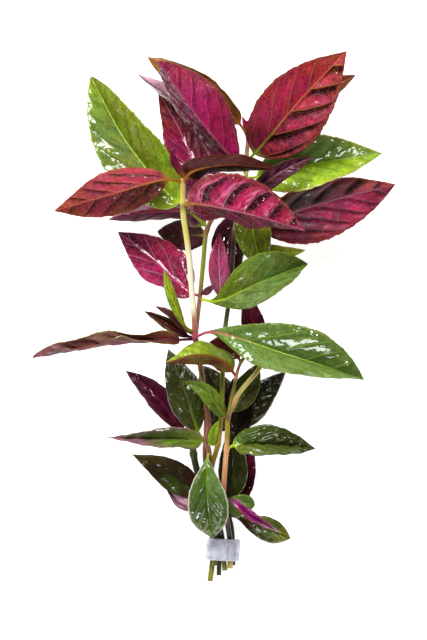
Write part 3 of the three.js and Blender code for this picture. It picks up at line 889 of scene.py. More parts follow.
def evaluated(raw: bpy.types.Object, tree: Tree, values: dict[str, Any]) -> bpy.types.Mesh:
    """Runs a node tree on an object and keeps the result as a plain mesh.

    Args:
        raw: the object that the tree starts from.
        tree: the geometry nodes.
        values: a value for each named input.

    Returns:
        The finished mesh. The object and its modifier are removed.
    """
    modifier = raw.modifiers.new(tree.name, "NODES")
    modifier.node_group = tree
    for item in tree.interface.items_tree:
        if item.in_out == "INPUT" and item.name in values:
            modifier[item.identifier] = values[item.name]
    graph = bpy.context.evaluated_depsgraph_get()
    result = raw.evaluated_get(graph)
    mesh = bpy.data.meshes.new_from_object(result, preserve_all_data_layers=True,
                                           depsgraph=graph)
    raw.modifiers.remove(modifier)
    start = raw.data
    bpy.data.objects.remove(raw)
    bpy.data.meshes.remove(start)
    return mesh


def mesh_object(name: str, points: Array, faces: Array) -> bpy.types.Object:
    """Makes an object at the origin from points in millimetres and four-sided faces.

    Args:
        name: the object's name.
        points: the points, one row each.
        faces: four point numbers a row, with the last two alike in a triangle.

    Returns:
        The linked object.
    """
    mesh = bpy.data.meshes.new(name)
    corners = [row if row[2] != row[3] else row[:3] for row in faces.tolist()]
    mesh.from_pydata((points * MM).tolist(), [], corners)
    return placed(name, mesh)


def ring_faces(rows: int, around: int) -> Array:
    """Faces that join rings of points and close both ends to a point.

    Args:
        rows: how many rings there are.
        around: how many points a ring has. The two end points follow the rings.

    Returns:
        Four point numbers a face.
    """
    start = np.arange(rows - 1)[:, None] * around
    ring = np.arange(around)
    after = (ring + 1) % around
    sides = np.stack([start + ring, start + after, start + around + after,
                      start + around + ring], axis=-1).reshape(-1, 4)
    last = (rows - 1) * around
    foot = np.full(around, rows * around)
    tip = foot + 1
    foot_fan = np.stack([after, ring, foot, foot], axis=1)
    tip_fan = np.stack([last + ring, last + after, tip, tip], axis=1)
    return np.vstack([sides, foot_fan, tip_fan])


def give(mesh: bpy.types.Mesh, name: str, values: Array) -> None:
    """Stores a value, vector or colour for every point of a mesh.

    Args:
        mesh: the mesh.
        name: the attribute's name.
        values: one row for each point, with one, three or four numbers.
    """
    kinds = {1: ("FLOAT", "value"), 3: ("FLOAT_VECTOR", "vector"), 4: ("FLOAT_COLOR", "color")}
    width = 1 if values.ndim == 1 else values.shape[1]
    kind, key = kinds[width]
    attribute = mesh.attributes.new(name, kind, "POINT")
    attribute.data.foreach_set(key, values.astype(np.float32).ravel())


def settle(name: str, mesh: bpy.types.Mesh, node: str) -> bpy.types.Object:
    """Makes a finished piece stand for its solid and ride with the bunch.

    Args:
        name: the piece's name.
        mesh: the finished mesh.
        node: the solid that it stands for.

    Returns:
        The piece.
    """
    mesh.name = name
    piece = placed(name, mesh)
    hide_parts(node)
    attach(piece, "root")
    logger.info("%s: %d faces for %s", name, len(mesh.polygons), node)
    return piece


@dataclass(frozen=True)
class Paint:
    """The colours of one leaf, and how wet its two halves are.

    Each half has its tints from foot to tip. The patch tint covers a share of the blade in
    blotches.
    """

    left: tuple[Tint, ...]
    right: tuple[Tint, ...]
    vein: Tint
    stalk: Tint
    margin: Tint
    back: Tint
    patch: Tint = Tint.SHADOW
    patchy: float = 0.0
    wet: Pair = (0.2, 0.2)


@dataclass(frozen=True)
class Leaf:
    """One leaf, from the stem's axis to its tip.

    The rises say how far each half of the blade stands up from the level, in degrees, at the foot
    and at the tip.
    """

    name: str
    kind: LeafKind
    shape: LeafShape
    width: float
    left: Pair
    right: Pair
    path: tuple[Point, ...]
    paint: Paint
    relief: LeafRelief = GENTLE

    @property
    def seed(self) -> float:
        """A number of the leaf's own, which moves its patterns."""
        return sum(ord(letter) * (i + 3) for i, letter in enumerate(self.name)) % 97 * 3.7

    def half_widths(self, along: Array, length: float) -> Array:
        """The blade's or stalk's half width at shares of the length, with a faintly scalloped rim.

        Args:
            along: shares of the leaf's length.
            length: the leaf's length.

        Returns:
            The half widths.
        """
        outline = self.shape.value
        blade = np.clip((along - outline.stalk) / (1 - outline.stalk), 1e-6, 1 - 1e-6)
        rise = (blade / outline.widest) ** (outline.widest * outline.fullness)
        fall = ((1 - blade) / (1 - outline.widest)) ** ((1 - outline.widest) * outline.fullness)
        run = along * length
        scallops = sum(height * np.sin(run / size + self.seed) for height, size in SCALLOPS)
        wide = self.width / 2 * rise * fall * (1 + scallops)
        wide = np.where(along <= outline.stalk, 0.0, wide)
        stalk = PETIOLE_WIDTH / 2 * (1 - PETIOLE_TAPER * along)
        stalk = stalk * np.clip((1 - along) / STALK_END, STALK_END, 1.0)
        return (stalk ** 3 + wide ** 3) ** (1 / 3)

    def grid(self) -> dict[str, Array]:
        """Lays out the blade's middle surface.

        Returns:
            Named arrays over rows along the leaf and columns across it: the points, the upward
            directions, the signed share across, the share along the blade, the chart, and how
            the hollows lean.
        """
        outline = self.shape.value
        path = SmoothLine(self.path)
        rows = max(FEWEST_ROWS, round(path.length / MESH_SPACING))
        columns = max(FEWEST_COLUMNS, round(self.width / 2 / MESH_SPACING))
        shares = np.linspace(0, LAST_RING, rows)
        centre, tangent, length = path.at(shares)
        side = unit(np.cross(UP, tangent))
        normal = np.cross(tangent, side)
        across = np.linspace(1, -1, 2 * columns + 1)
        half_width = self.half_widths(shares, length)
        folded = smooth(shares, 0, FOLD_SHARE)
        outs, ups = [], []
        for sign, rise in ((1, self.left), (-1, self.right)):
            angle = np.radians(folded * (rise[0] + (rise[1] - rise[0]) * shares))[:, None]
            outs.append(sign * side * np.cos(angle) + normal * np.sin(angle))
            ups.append(normal * np.cos(angle) - sign * side * np.sin(angle))
        offset = half_width[:, None] * across[None, :]
        soft = np.minimum(FOLD_ROUNDING, FOLD_ROUNDING_SHARE * half_width)[:, None]
        points = centre[:, None, :]
        for out, reached in zip(outs, (offset, -offset)):
            eased = np.where(reached > soft, reached,
                             np.clip(reached + soft, 0, None) ** 2 / (4 * soft))
            points = points + out[:, None, :] * eased[..., None]
        leftness = smooth(offset / soft, -1, 1)
        up = unit(ups[1][:, None, :] * (1 - leftness[..., None])
                  + ups[0][:, None, :] * leftness[..., None])
        reach = np.abs(across)[None, :]
        lag = np.where(across < 0, WAVE_LAG_OF_RIGHT_EDGE, 0.0)[None, :]
        phase = 2 * np.pi * outline.waves * shares[:, None] + lag
        arch = 4 * BLADE_BULGE * reach * (1 - reach) + outline.wave * np.sin(phase) * reach ** 2
        points = points + up * (arch * half_width[:, None])[..., None]
        blade = (shares - outline.stalk) / (1 - outline.stalk)
        relief = self.relief
        by_half = {"swell": relief.halves, "slant": relief.slants, "sweep": relief.sweeps}
        plain = {"ridge": relief.ridge, "midrib": relief.midrib, "painted_highlight_folds": relief.painted_highlight_folds}
        chart = np.stack(np.broadcast_arrays(
            (shares[:, None] - outline.stalk) * length, offset, self.seed), axis=-1)
        return {"points": points, "up": up, "across": np.broadcast_to(across, offset.shape),
                "along": np.broadcast_to(blade[:, None], offset.shape), "chart": chart,
                "half_width": half_width, "shares": shares,
                **{key: pair[0] * leftness + pair[1] * (1 - leftness)
                   for key, pair in by_half.items()},
                **{key: np.full(offset.shape, value) for key, value in plain.items()},
                "lean": self.leaning(tangent, side, leftness)}

    def leaning(self, tangent: Array, side: Array, leftness: Array) -> Array:
        """How the hollows between the veins lean: their steep side faces away from the window, and
        the skin paints shade on that side and light on the other.

        Args:
            tangent: the midrib's direction in each row.
            side: the direction of the left half in each row.
            leftness: 1 on the left half and 0 on the right half.

        Returns:
            From -1, steep just past a vein, to 1, steep just before the next one.
        """
        slant = math.radians(VEIN_SLANT)
        leans = [((tangent * math.sin(slant) - sign * side * math.cos(slant))
                  @ WINDOW_SIDE)[:, None] for sign in (1, -1)]
        return leans[0] * leftness + leans[1] * (1 - leftness)

    def thickness(self, grid: dict[str, Array]) -> tuple[Array, Array]:
        """How far the upper and lower skins stand off the middle surface.

        Args:
            grid: the middle surface.

        Returns:
            The upper and the lower distances.
        """
        blade = np.clip(grid["shares"] / THIN_FROM, 0, 1)[:, None]
        full = PETIOLE_THICKNESS + (BLADE_THICKNESS - PETIOLE_THICKNESS) * blade
        reach = np.abs(grid["across"])
        round_edge = np.sqrt(np.clip(1 - reach ** (STALK_ROUNDNESS + EDGE_SHARPNESS * blade), 0, 1))
        beside = np.abs(grid["chart"][..., 1]) / MIDRIB_WIDTH
        rib = np.exp(-beside ** 2) * blade * (1 - MIDRIB_THINNING * np.clip(grid["along"], 0, 1))
        rib = rib * np.clip(grid["half_width"][:, None] / MIDRIB_NEEDS, 0, 1)
        flat = full / 2 * round_edge
        return flat + MIDRIB_RISE * rib, flat + MIDRIB_DEPTH * rib

    def tints(self, grid: dict[str, Array]) -> Array:
        """Blends the tints of the blade's facing side.

        Args:
            grid: the middle surface.

        Returns:
            A linear colour for each point of the middle surface.
        """
        left, right = (blended(grid["along"], np.linspace(*TINT_ENDS, len(tints)), tints)
                       for tints in (self.paint.left, self.paint.right))
        share = smooth(grid["across"], -HALF_BLEND, HALF_BLEND)[..., None]
        return right * (1 - share) + left * share

    def wetness(self, grid: dict[str, Array]) -> Array:
        """How wet each point of the middle surface is."""
        share = smooth(grid["across"], -HALF_BLEND, HALF_BLEND)
        return self.paint.wet[1] * (1 - share) + self.paint.wet[0] * share

    def raw_object(self) -> bpy.types.Object:
        """Builds the closed blade with its chart, before the relief.

        Returns:
            The object, with every attribute that the relief and the skins read.
        """
        grid = self.grid()
        above, below = self.thickness(grid)
        rows, count = above.shape
        inner = slice(count - 2, 0, -1)
        upper_side = np.ones((rows, count))
        upper_side[:, [0, -1]] = 0
        tints = self.tints(grid)
        wet = self.wetness(grid)
        layers = {
            "points": (grid["points"] + grid["up"] * above[..., None],
                       grid["points"] - grid["up"] * below[..., None]),
            "lift": (grid["up"], grid["up"]),
            **{key: (grid[key], grid[key]) for key in CHARTED},
            "side": (upper_side, -np.ones((rows, count))),
            "tint": (tints, np.broadcast_to(np.array(linear(self.paint.back)), tints.shape)),
            "wet": (wet, wet * UNDERSIDE_WETNESS),
        }
        rings = {key: np.concatenate([a, b[:, inner]], axis=1) for key, (a, b) in layers.items()}
        around = rings["side"].shape[1]
        flat = {key: value.reshape(rows * around, -1) for key, value in rings.items()}
        ends = {key: value[[0, -1]].copy() for key, value in flat.items()}
        ends["points"] = SmoothLine(self.path).at(np.array([0.0, 1.0]))[0]
        ends["chart"][:, 1] = 0
        ends["across"][:] = 0
        flat = {key: np.vstack([value, ends[key]]) for key, value in flat.items()}
        made = mesh_object(f"{self.name}_blade", flat["points"], ring_faces(rows, around))
        for key, values in flat.items():
            if key != "points":
                give(made.data, key, values[:, 0] if values.shape[1] == 1 else values)
        plain = {"vein_tint": self.paint.vein, "stalk_tint": self.paint.stalk,
                 "margin_tint": self.paint.margin, "patch_tint": self.paint.patch}
        for key, tint in plain.items():
            colour = np.array(linear(tint))
            colour[3] = self.paint.patchy
            give(made.data, key, np.tile(colour, (len(flat["points"]), 1)))
        return made

    def build(self, relief: LeafReliefTree, skins: Skins) -> None:
        """Quilts the blade and puts it in the place of its solid.

        Args:
            relief: the shared relief nodes.
            skins: the upper and lower materials of each family.
        """
        settle(f"{self.name}_skin", self.quilted(relief, skins), self.name)

    def quilted(self, relief: LeafReliefTree, skins: Skins) -> bpy.types.Mesh:
        """Quilts the blade.

        Args:
            relief: the shared relief nodes.
            skins: the upper and lower materials of each family.

        Returns:
            The finished mesh.
        """
        length = SmoothLine(self.path).length * (1 - self.shape.value.stalk)
        return evaluated(self.raw_object(), relief.tree, {
            "Vein spacing": length / self.relief.pairs,
            "Half width": self.width / 2,
            "Quilt height": self.relief.quilt,
            "Cell height": self.relief.cells,
            "Ruffle height": self.relief.ruffle,
            **dict(zip(relief.SKINS, skins[self.kind])),
        })


T = Tint
K = LeafKind
S = LeafShape

TOP_LEAVES = (
    Leaf("leaf_top_right", K.CRIMSON, S.OVATE, 38, (40, 24), (5, 10), ((12, 195, 20),
         (19.5, 203, 27), (38.5, 225.5, 36), (62, 250, 32)),
         Paint((T.MAGENTA, T.CRIMSON, T.CRIMSON, T.BRICK), (T.MAROON, T.WINE, T.GARNET, T.EMBER),
         T.APRICOT, T.CHARTREUSE, T.BRONZE, T.KHAKI, T.ROSE, 0.4, (0, 0)), TOP_RIGHT_RELIEF),
    Leaf("leaf_bronze_back", K.BRONZE, S.OVAL, 17, (5, 5), (5, 5), ((13, 207, 20), (19.5, 213, 13),
         (43.5, 227.5, 6), (67, 239, 0.6)),
         Paint((T.BRONZE, T.BARK), (T.BRONZE, T.BRONZE), T.BRONZE, T.BARK, T.OCHRE, T.UMBER)),
    Leaf("leaf_top_left_back", K.BRONZE, S.OVAL, 26, (-5, 0), (70, 68), ((12.7, 206.5, 20),
         (9, 213, 18.5), (-10.8, 234.6, 16), (-38, 247.5, 14)),
         Paint((T.BRONZE, T.OCHRE), (T.OCHRE, T.OCHRE, T.PEACH), T.COPPER, T.OCHRE, T.BRONZE,
         T.RUST, wet=(0, 0))),
    Leaf("leaf_top_left_front", K.CRIMSON, S.ELLIPTIC, 34, (-62, -66), (-18, -12),
         ((11.5, 189.5, 20), (6.5, 194, 26), (-11.5, 215.5, 34), (-32.5, 245, 31)),
         Paint((T.WINE, T.MAROON, T.WINE, T.DUSK), (T.MAGENTA, T.MAGENTA, T.MAGENTA, T.GARNET),
         T.FUCHSIA, T.COPPER, T.BRONZE, T.KHAKI, T.WINE, 0.6, (0.45, 0)), FRONT_RELIEF),
    Leaf("leaf_top_left_low", K.BRONZE, S.OVAL, 16, (-75, -75), (0, 0), ((0.5, 182.5, 26),
         (-6, 197, 20), (-22, 222.5, 13.5), (-43, 239, 11)),
         Paint((T.MAROON, T.DUSK, T.BLUSH), (T.BARK, T.BARK, T.CLAY, T.BLUSH), T.DUSK, T.MAUVE,
         T.HEATHER, T.UMBER, wet=(0.6, 0.2))),
    Leaf("leaf_magenta_back", K.MAROON, S.OVAL, 26, (25, 35), (20, 30), ((-4.8, 167.5, 26.6),
         (-9, 180.5, 15), (-21.5, 210.5, 4), (-32.5, 230.5, 0.6)),
         Paint((T.ROSE, T.CERISE, T.CRIMSON, T.BRONZE), (T.CERISE, T.GARNET, T.WINE), T.PETAL,
         T.MAUVE, T.BRONZE, T.PLUM, T.WINE, 0.4, (0.5, 0.8)), SOFT_RIDGED),
    Leaf("leaf_green_top_left", K.GREEN, S.BROAD, 36, (24, 24), (34, 52), ((-20, 173.5, 33),
         (-25.5, 177, 29), (-49, 206, 20), (-66.3, 238, 14)),
         Paint((T.CHARTREUSE, T.SAGE, T.SAGE, T.CHARTREUSE), (T.CHARTREUSE, T.MOSS, T.MOSS, T.MOSS),
         T.LIME, T.LIME, T.CHARTREUSE, T.MOSS, T.OLIVE, 0.5, (1, 0.35)), BROAD_GLOSS),
    Leaf("leaf_red_left", K.CRIMSON, S.OVAL, 27, (-38, -30), (-32, -32), ((-20, 184.5, 34.3),
         (-28.5, 185.5, 40), (-56.5, 178, 40), (-84.5, 170, 30)),
         Paint((T.UMBER, T.MAROON, T.GARNET, T.EMBER), (T.GARNET, T.CRIMSON, T.GARNET, T.EMBER),
         T.COPPER, T.OCHRE, T.COPPER, T.BRONZE, T.BARK, 0.5, (0, 0)), RED_RELIEF),
    Leaf("leaf_small_magenta_up", K.CRIMSON, S.OVAL, 3.6, (30, 30), (30, 30), ((-20, 186, 34.5),
         (-22.5, 190.5, 38), (-25, 196.5, 40), (-24, 204, 39)),
         Paint((T.WINE, T.WINE), (T.GARNET, T.WINE), T.GARNET, T.COPPER, T.WINE, T.WINE)),
    Leaf("leaf_brown_top", K.MAROON, S.BLUNT, 19, (-50, -50), (-72, -72), ((-20, 183.5, 34.3),
         (-16, 189, 40.5), (2.5, 192.5, 47), (25, 191, 43)),
         Paint((T.SHADOW, T.UMBER, T.UMBER), (T.SHADOW, T.UMBER), T.BRONZE, T.OCHRE, T.BARK,
         T.UMBER, T.MAROON, 0.4, (0, 0)), SLENDER_RIBBED),
    Leaf("leaf_purple_patch", K.MAUVE, S.BROAD, 16, (15, 15), (15, 15), ((-20, 176.5, 33.2),
         (-16.5, 180, 28.5), (-11, 186, 26.5), (-3.5, 192, 26.5)),
         Paint((T.ORCHID, T.CERISE, T.ORCHID), (T.CERISE, T.ORCHID), T.BLUSH, T.ORCHID, T.ORCHID,
         T.PLUM, T.MAGENTA, 0.4, (1, 1))),
)

UPPER_LEAVES = (
    Leaf("leaf_magenta_centre", K.CRIMSON, S.OVATE, 38, (24, 14), (-72, -72), ((-20, 172.5, 33),
         (-15, 173.5, 41), (11, 168.5, 52), (41, 160, 46)),
         Paint((T.GARNET, T.CRIMSON, T.CRIMSON, T.CRIMSON), (T.UMBER, T.UMBER, T.UMBER), T.PETAL,
         T.OCHRE, T.BRONZE, T.BRONZE, T.MAGENTA, 0.5, (0.3, 0)), CENTRE_RELIEF),
    Leaf("leaf_green_top_right", K.GREEN, S.OVATE, 32, (15, 20), (42, 40), ((11.3, 186.5, 20.2),
         (19.5, 187.5, 18), (47.5, 194, 17), (80, 199, 20)),
         # The right half's bright lime is painted light: the glow of light shining through the thin
         # blade
         Paint((T.SAGE, T.SAGE, T.SAGE, T.CHARTREUSE), (T.LIME, T.LIME, T.LIME, T.CHARTREUSE),
         T.LIME, T.LIME, T.STRAW, T.MOSS, T.GRASS, 0.4, (1, 0.3)), BROAD_GLOSS),
    Leaf("leaf_small_purple", K.MAROON, S.OVAL, 11, (30, 30), (30, 30), ((9.8, 177, 20.5),
         (17.5, 181.5, 28), (31, 190.5, 33), (45, 197, 30)),
         Paint((T.DUSK, T.MAROON), (T.DUSK, T.MAROON), T.HEATHER, T.DUSK, T.BARK, T.SHADOW,
         T.MAROON, 0.6, (0.3, 0.3)), SOFT_RIDGED),
    Leaf("leaf_magenta_right", K.CRIMSON, S.OVAL, 37, (-56, -50), (6, 6), ((6.4, 162.5, 21),
         (19.5, 164.5, 18), (51, 174.5, 20), (86.5, 183.5, 20)),
         Paint((T.SHADOW, T.SHADOW, T.GARNET, T.EMBER), (T.MAROON, T.WINE, T.CRIMSON, T.GARNET),
         T.DUSK, T.COPPER, T.EMBER, T.KHAKI, T.MAROON, 0.5, (0, 0)), RIGHT_RELIEF),
    Leaf("leaf_green_centre", K.LIME, S.BROAD, 19, (15, 15), (15, 15), ((8.8, 173, 20.6),
         (12.8, 168.5, 26), (16, 154.5, 28), (19.5, 141.5, 24)),
         Paint((T.OLIVE, T.OLIVE, T.MOSS), (T.OLIVE, T.MOSS, T.MOSS), T.LIME, T.LIME, T.CHARTREUSE,
         T.OLIVE, T.KHAKI, 0.6, (0.3, 0.6)), QUILTED),
    Leaf("leaf_olive_tip_right", K.LIME, S.OVAL, 9, (20, 20), (20, 20), ((5.5, 157.5, 21),
         (13.5, 151, 21), (28.5, 149, 21), (41.5, 150.5, 19)),
         Paint((T.OLIVE, T.OLIVE), (T.OLIVE, T.MOSS), T.CHARTREUSE, T.OLIVE, T.OLIVE, T.OLIVE)),
    Leaf("leaf_purple_left", K.MAUVE, S.BROAD, 20, (-66, -60), (-50, -50), ((-8, 162, 26),
         (-16.5, 169, 24), (-36.5, 169.5, 18), (-57.5, 166, 12)),
         Paint((T.PLUM, T.PLUM, T.DUSK), (T.CERISE, T.CERISE, T.WINE), T.MAUVE, T.CHARTREUSE,
         T.STRAW, T.PINE, T.WINE, 0.4, (0.1, 0.9))),
    Leaf("leaf_dark_left", K.MAROON, S.BROAD, 16, (10, 10), (10, 10), ((-8.2, 158.5, 26),
         (-11, 158, 21), (-20, 158.5, 10), (-33, 160, 0.6)),
         Paint((T.MAROON, T.UMBER), (T.UMBER, T.MAROON), T.MAROON, T.OLIVE, T.SHADOW, T.SHADOW,
         wet=(0, 0))),
    Leaf("leaf_magenta_left", K.CRIMSON, S.OVATE, 26, (62, 20), (8, 8), ((-11.4, 127.5, 24.5),
         (-17, 129.5, 20), (-35, 146, 10), (-53, 160, 5)),
         Paint((T.GARNET, T.CERISE, T.GARNET), (T.GARNET, T.CERISE, T.SHADOW), T.PETAL, T.ROSE,
         T.CRIMSON, T.PLUM, T.PLUM, 0.5, (0.3, 0.7)), LEFT_RELIEF),
)

MIDDLE_LEAVES = (
    Leaf("leaf_green_mid_right", K.GREEN, S.NECKED, 29, (20, 20), (2, 80), ((-11.5, 126, 24.5),
         (-3.5, 125, 29), (19.5, 134.5, 36), (42.5, 143.5, 32)),
         Paint((T.MOSS, T.MOSS, T.SAGE, T.FERN), (T.MOSS, T.SAGE, T.SAGE, T.FOREST), T.CHARTREUSE,
         T.LIME, T.MOSS, T.MOSS, T.KHAKI, 0.4, (0.2, 0.45))),
    Leaf("leaf_purple_upright", K.MAUVE, S.OVAL, 12, (35, 35), (35, 35), ((2.8, 124.5, 21.5),
         (-0.5, 128, 25), (-2, 143, 27), (-2, 159, 23)),
         Paint((T.HEATHER, T.MAUVE, T.WINE), (T.HEATHER, T.MAUVE, T.WINE), T.PETAL, T.PEACH, T.ROSE,
         T.MAUVE, T.CERISE, 0.4, (0.2, 0.3)), GENTLE),
    Leaf("leaf_dark_centre", K.MAROON, S.OVATE, 17, (0, 0), (0, 0), ((8, 170, 20.8), (6, 166, 16.5),
         (2.5, 150, 15), (7.5, 130.5, 14)),
         Paint((T.WINE, T.PLUM, T.SHADOW), (T.WINE, T.MAROON, T.SHADOW), T.DUSK, T.PLUM, T.PLUM,
         T.SHADOW, T.SHADOW, 0.5, (1, 1))),
    Leaf("leaf_pink_shoot", K.MAUVE, S.OVAL, 4, (30, 30), (30, 30), ((-11.4, 128.5, 24.6),
         (-8.5, 129.5, 28), (-6, 131.5, 31), (-3.5, 134, 33)),
         Paint((T.MAROON, T.DUSK), (T.MAROON, T.DUSK), T.MAUVE, T.MAROON, T.DUSK, T.DUSK)),
    Leaf("leaf_narrow_green", K.LIME, S.NECKED, 6, (30, 30), (30, 30), ((-14.1, 109, 28.4),
         (-19, 112.5, 32), (-25, 125.5, 35), (-29.5, 140.5, 33)),
         Paint((T.MOSS, T.CHARTREUSE), (T.OLIVE, T.OLIVE), T.LIME, T.OLIVE, T.CHARTREUSE, T.OLIVE)),
    Leaf("leaf_brown_sliver", K.BRONZE, S.OVAL, 5, (30, 30), (30, 30), ((-14, 108, 28.2),
         (-18.5, 110.5, 29), (-25.5, 118, 29), (-34, 122.5, 27)),
         Paint((T.UMBER, T.UMBER), (T.UMBER, T.BARK), T.BARK, T.TAN, T.BARK, T.UMBER)),
    Leaf("leaf_dark_sliver", K.MAROON, S.OVAL, 7, (30, 30), (30, 30), ((-13.9, 107, 27.8),
         (-18, 107.5, 25.5), (-27.5, 113.5, 24), (-39.5, 120, 22)),
         Paint((T.MAROON, T.UMBER), (T.UMBER, T.SHADOW), T.BARK, T.MAROON, T.OLIVE, T.SHADOW)),
    Leaf("leaf_long_left", K.BRONZE, S.WAVY, 16, (108, 96), (58, 12), ((-13.8, 106, 27.8),
         (-22.5, 105.5, 31), (-59, 102.5, 30), (-95.5, 96.5, 20)),
         Paint((T.BARK, T.CLAY, T.HEATHER, T.CLAY), (T.BARK, T.CLAY, T.CLAY, T.HEATHER), T.HEATHER,
         T.MAROON, T.OLIVE, T.DUSK, T.EMBER, 0.4, (0.1, 0.1)), SOFT_RIDGED),
    Leaf("leaf_large_green", K.GREEN, S.NECKED, 34, (22, 20), (8, 88), ((-14, 107, 28.2),
         (-5.5, 109.5, 33), (31, 98.5, 40), (70.5, 85.5, 36)),
         Paint((T.SAGE, T.SAGE, T.SAGE, T.SAGE), (T.GRASS, T.SAGE, T.SAGE, T.SAGE), T.LIME, T.CORAL,
         T.MOSS, T.MOSS, T.FOREST, 0.5, (1, 0.5)), BROAD_GLOSS),
    Leaf("leaf_olive_sliver", K.LIME, S.OVAL, 13, (0, 0), (0, 0), ((23.7, 100.3, 24),
         (31, 103.5, 25), (46.5, 104.5, 27), (59, 100, 25)),
         Paint((T.OLIVE, T.OLIVE), (T.OLIVE, T.CHARTREUSE), T.CHARTREUSE, T.OLIVE, T.OLIVE,
         T.OLIVE)),
    Leaf("leaf_maroon_behind", K.MAROON, S.OVAL, 12, (10, 10), (10, 10), ((22, 98, 24.5),
         (18.5, 102, 21), (15, 114.5, 18), (11.5, 129.5, 16)),
         Paint((T.MAROON, T.MAROON), (T.MAROON, T.WINE), T.GARNET, T.WINE, T.BARK, T.SHADOW)),
    Leaf("leaf_folded_green", K.GREEN, S.OVATE, 20, (-62, -55), (-52, -45), ((6.6, 87.5, 31.7),
         (-0.5, 95, 37), (-12, 98, 41), (-29, 94, 39)),
         Paint((T.MAROON, T.BARK, T.BARK), (T.FERN, T.MOSS, T.CHARTREUSE, T.CHARTREUSE), T.BRONZE,
         T.BRONZE, T.MOSS, T.PINE, T.OLIVE, 0.4, (0, 0.3))),
    Leaf("leaf_maroon_centre", K.MAROON, S.OVAL, 16, (10, 10), (10, 10), ((9, 94.3, 31.6),
         (6.5, 98, 29.5), (0.5, 101, 28), (-8, 103.5, 27.5)),
         Paint((T.BARK, T.EMBER, T.WINE), (T.EMBER, T.MAROON), T.WINE, T.BRONZE, T.WINE, T.SHADOW,
         T.MAROON, 0.5, (0.6, 0.6))),
)

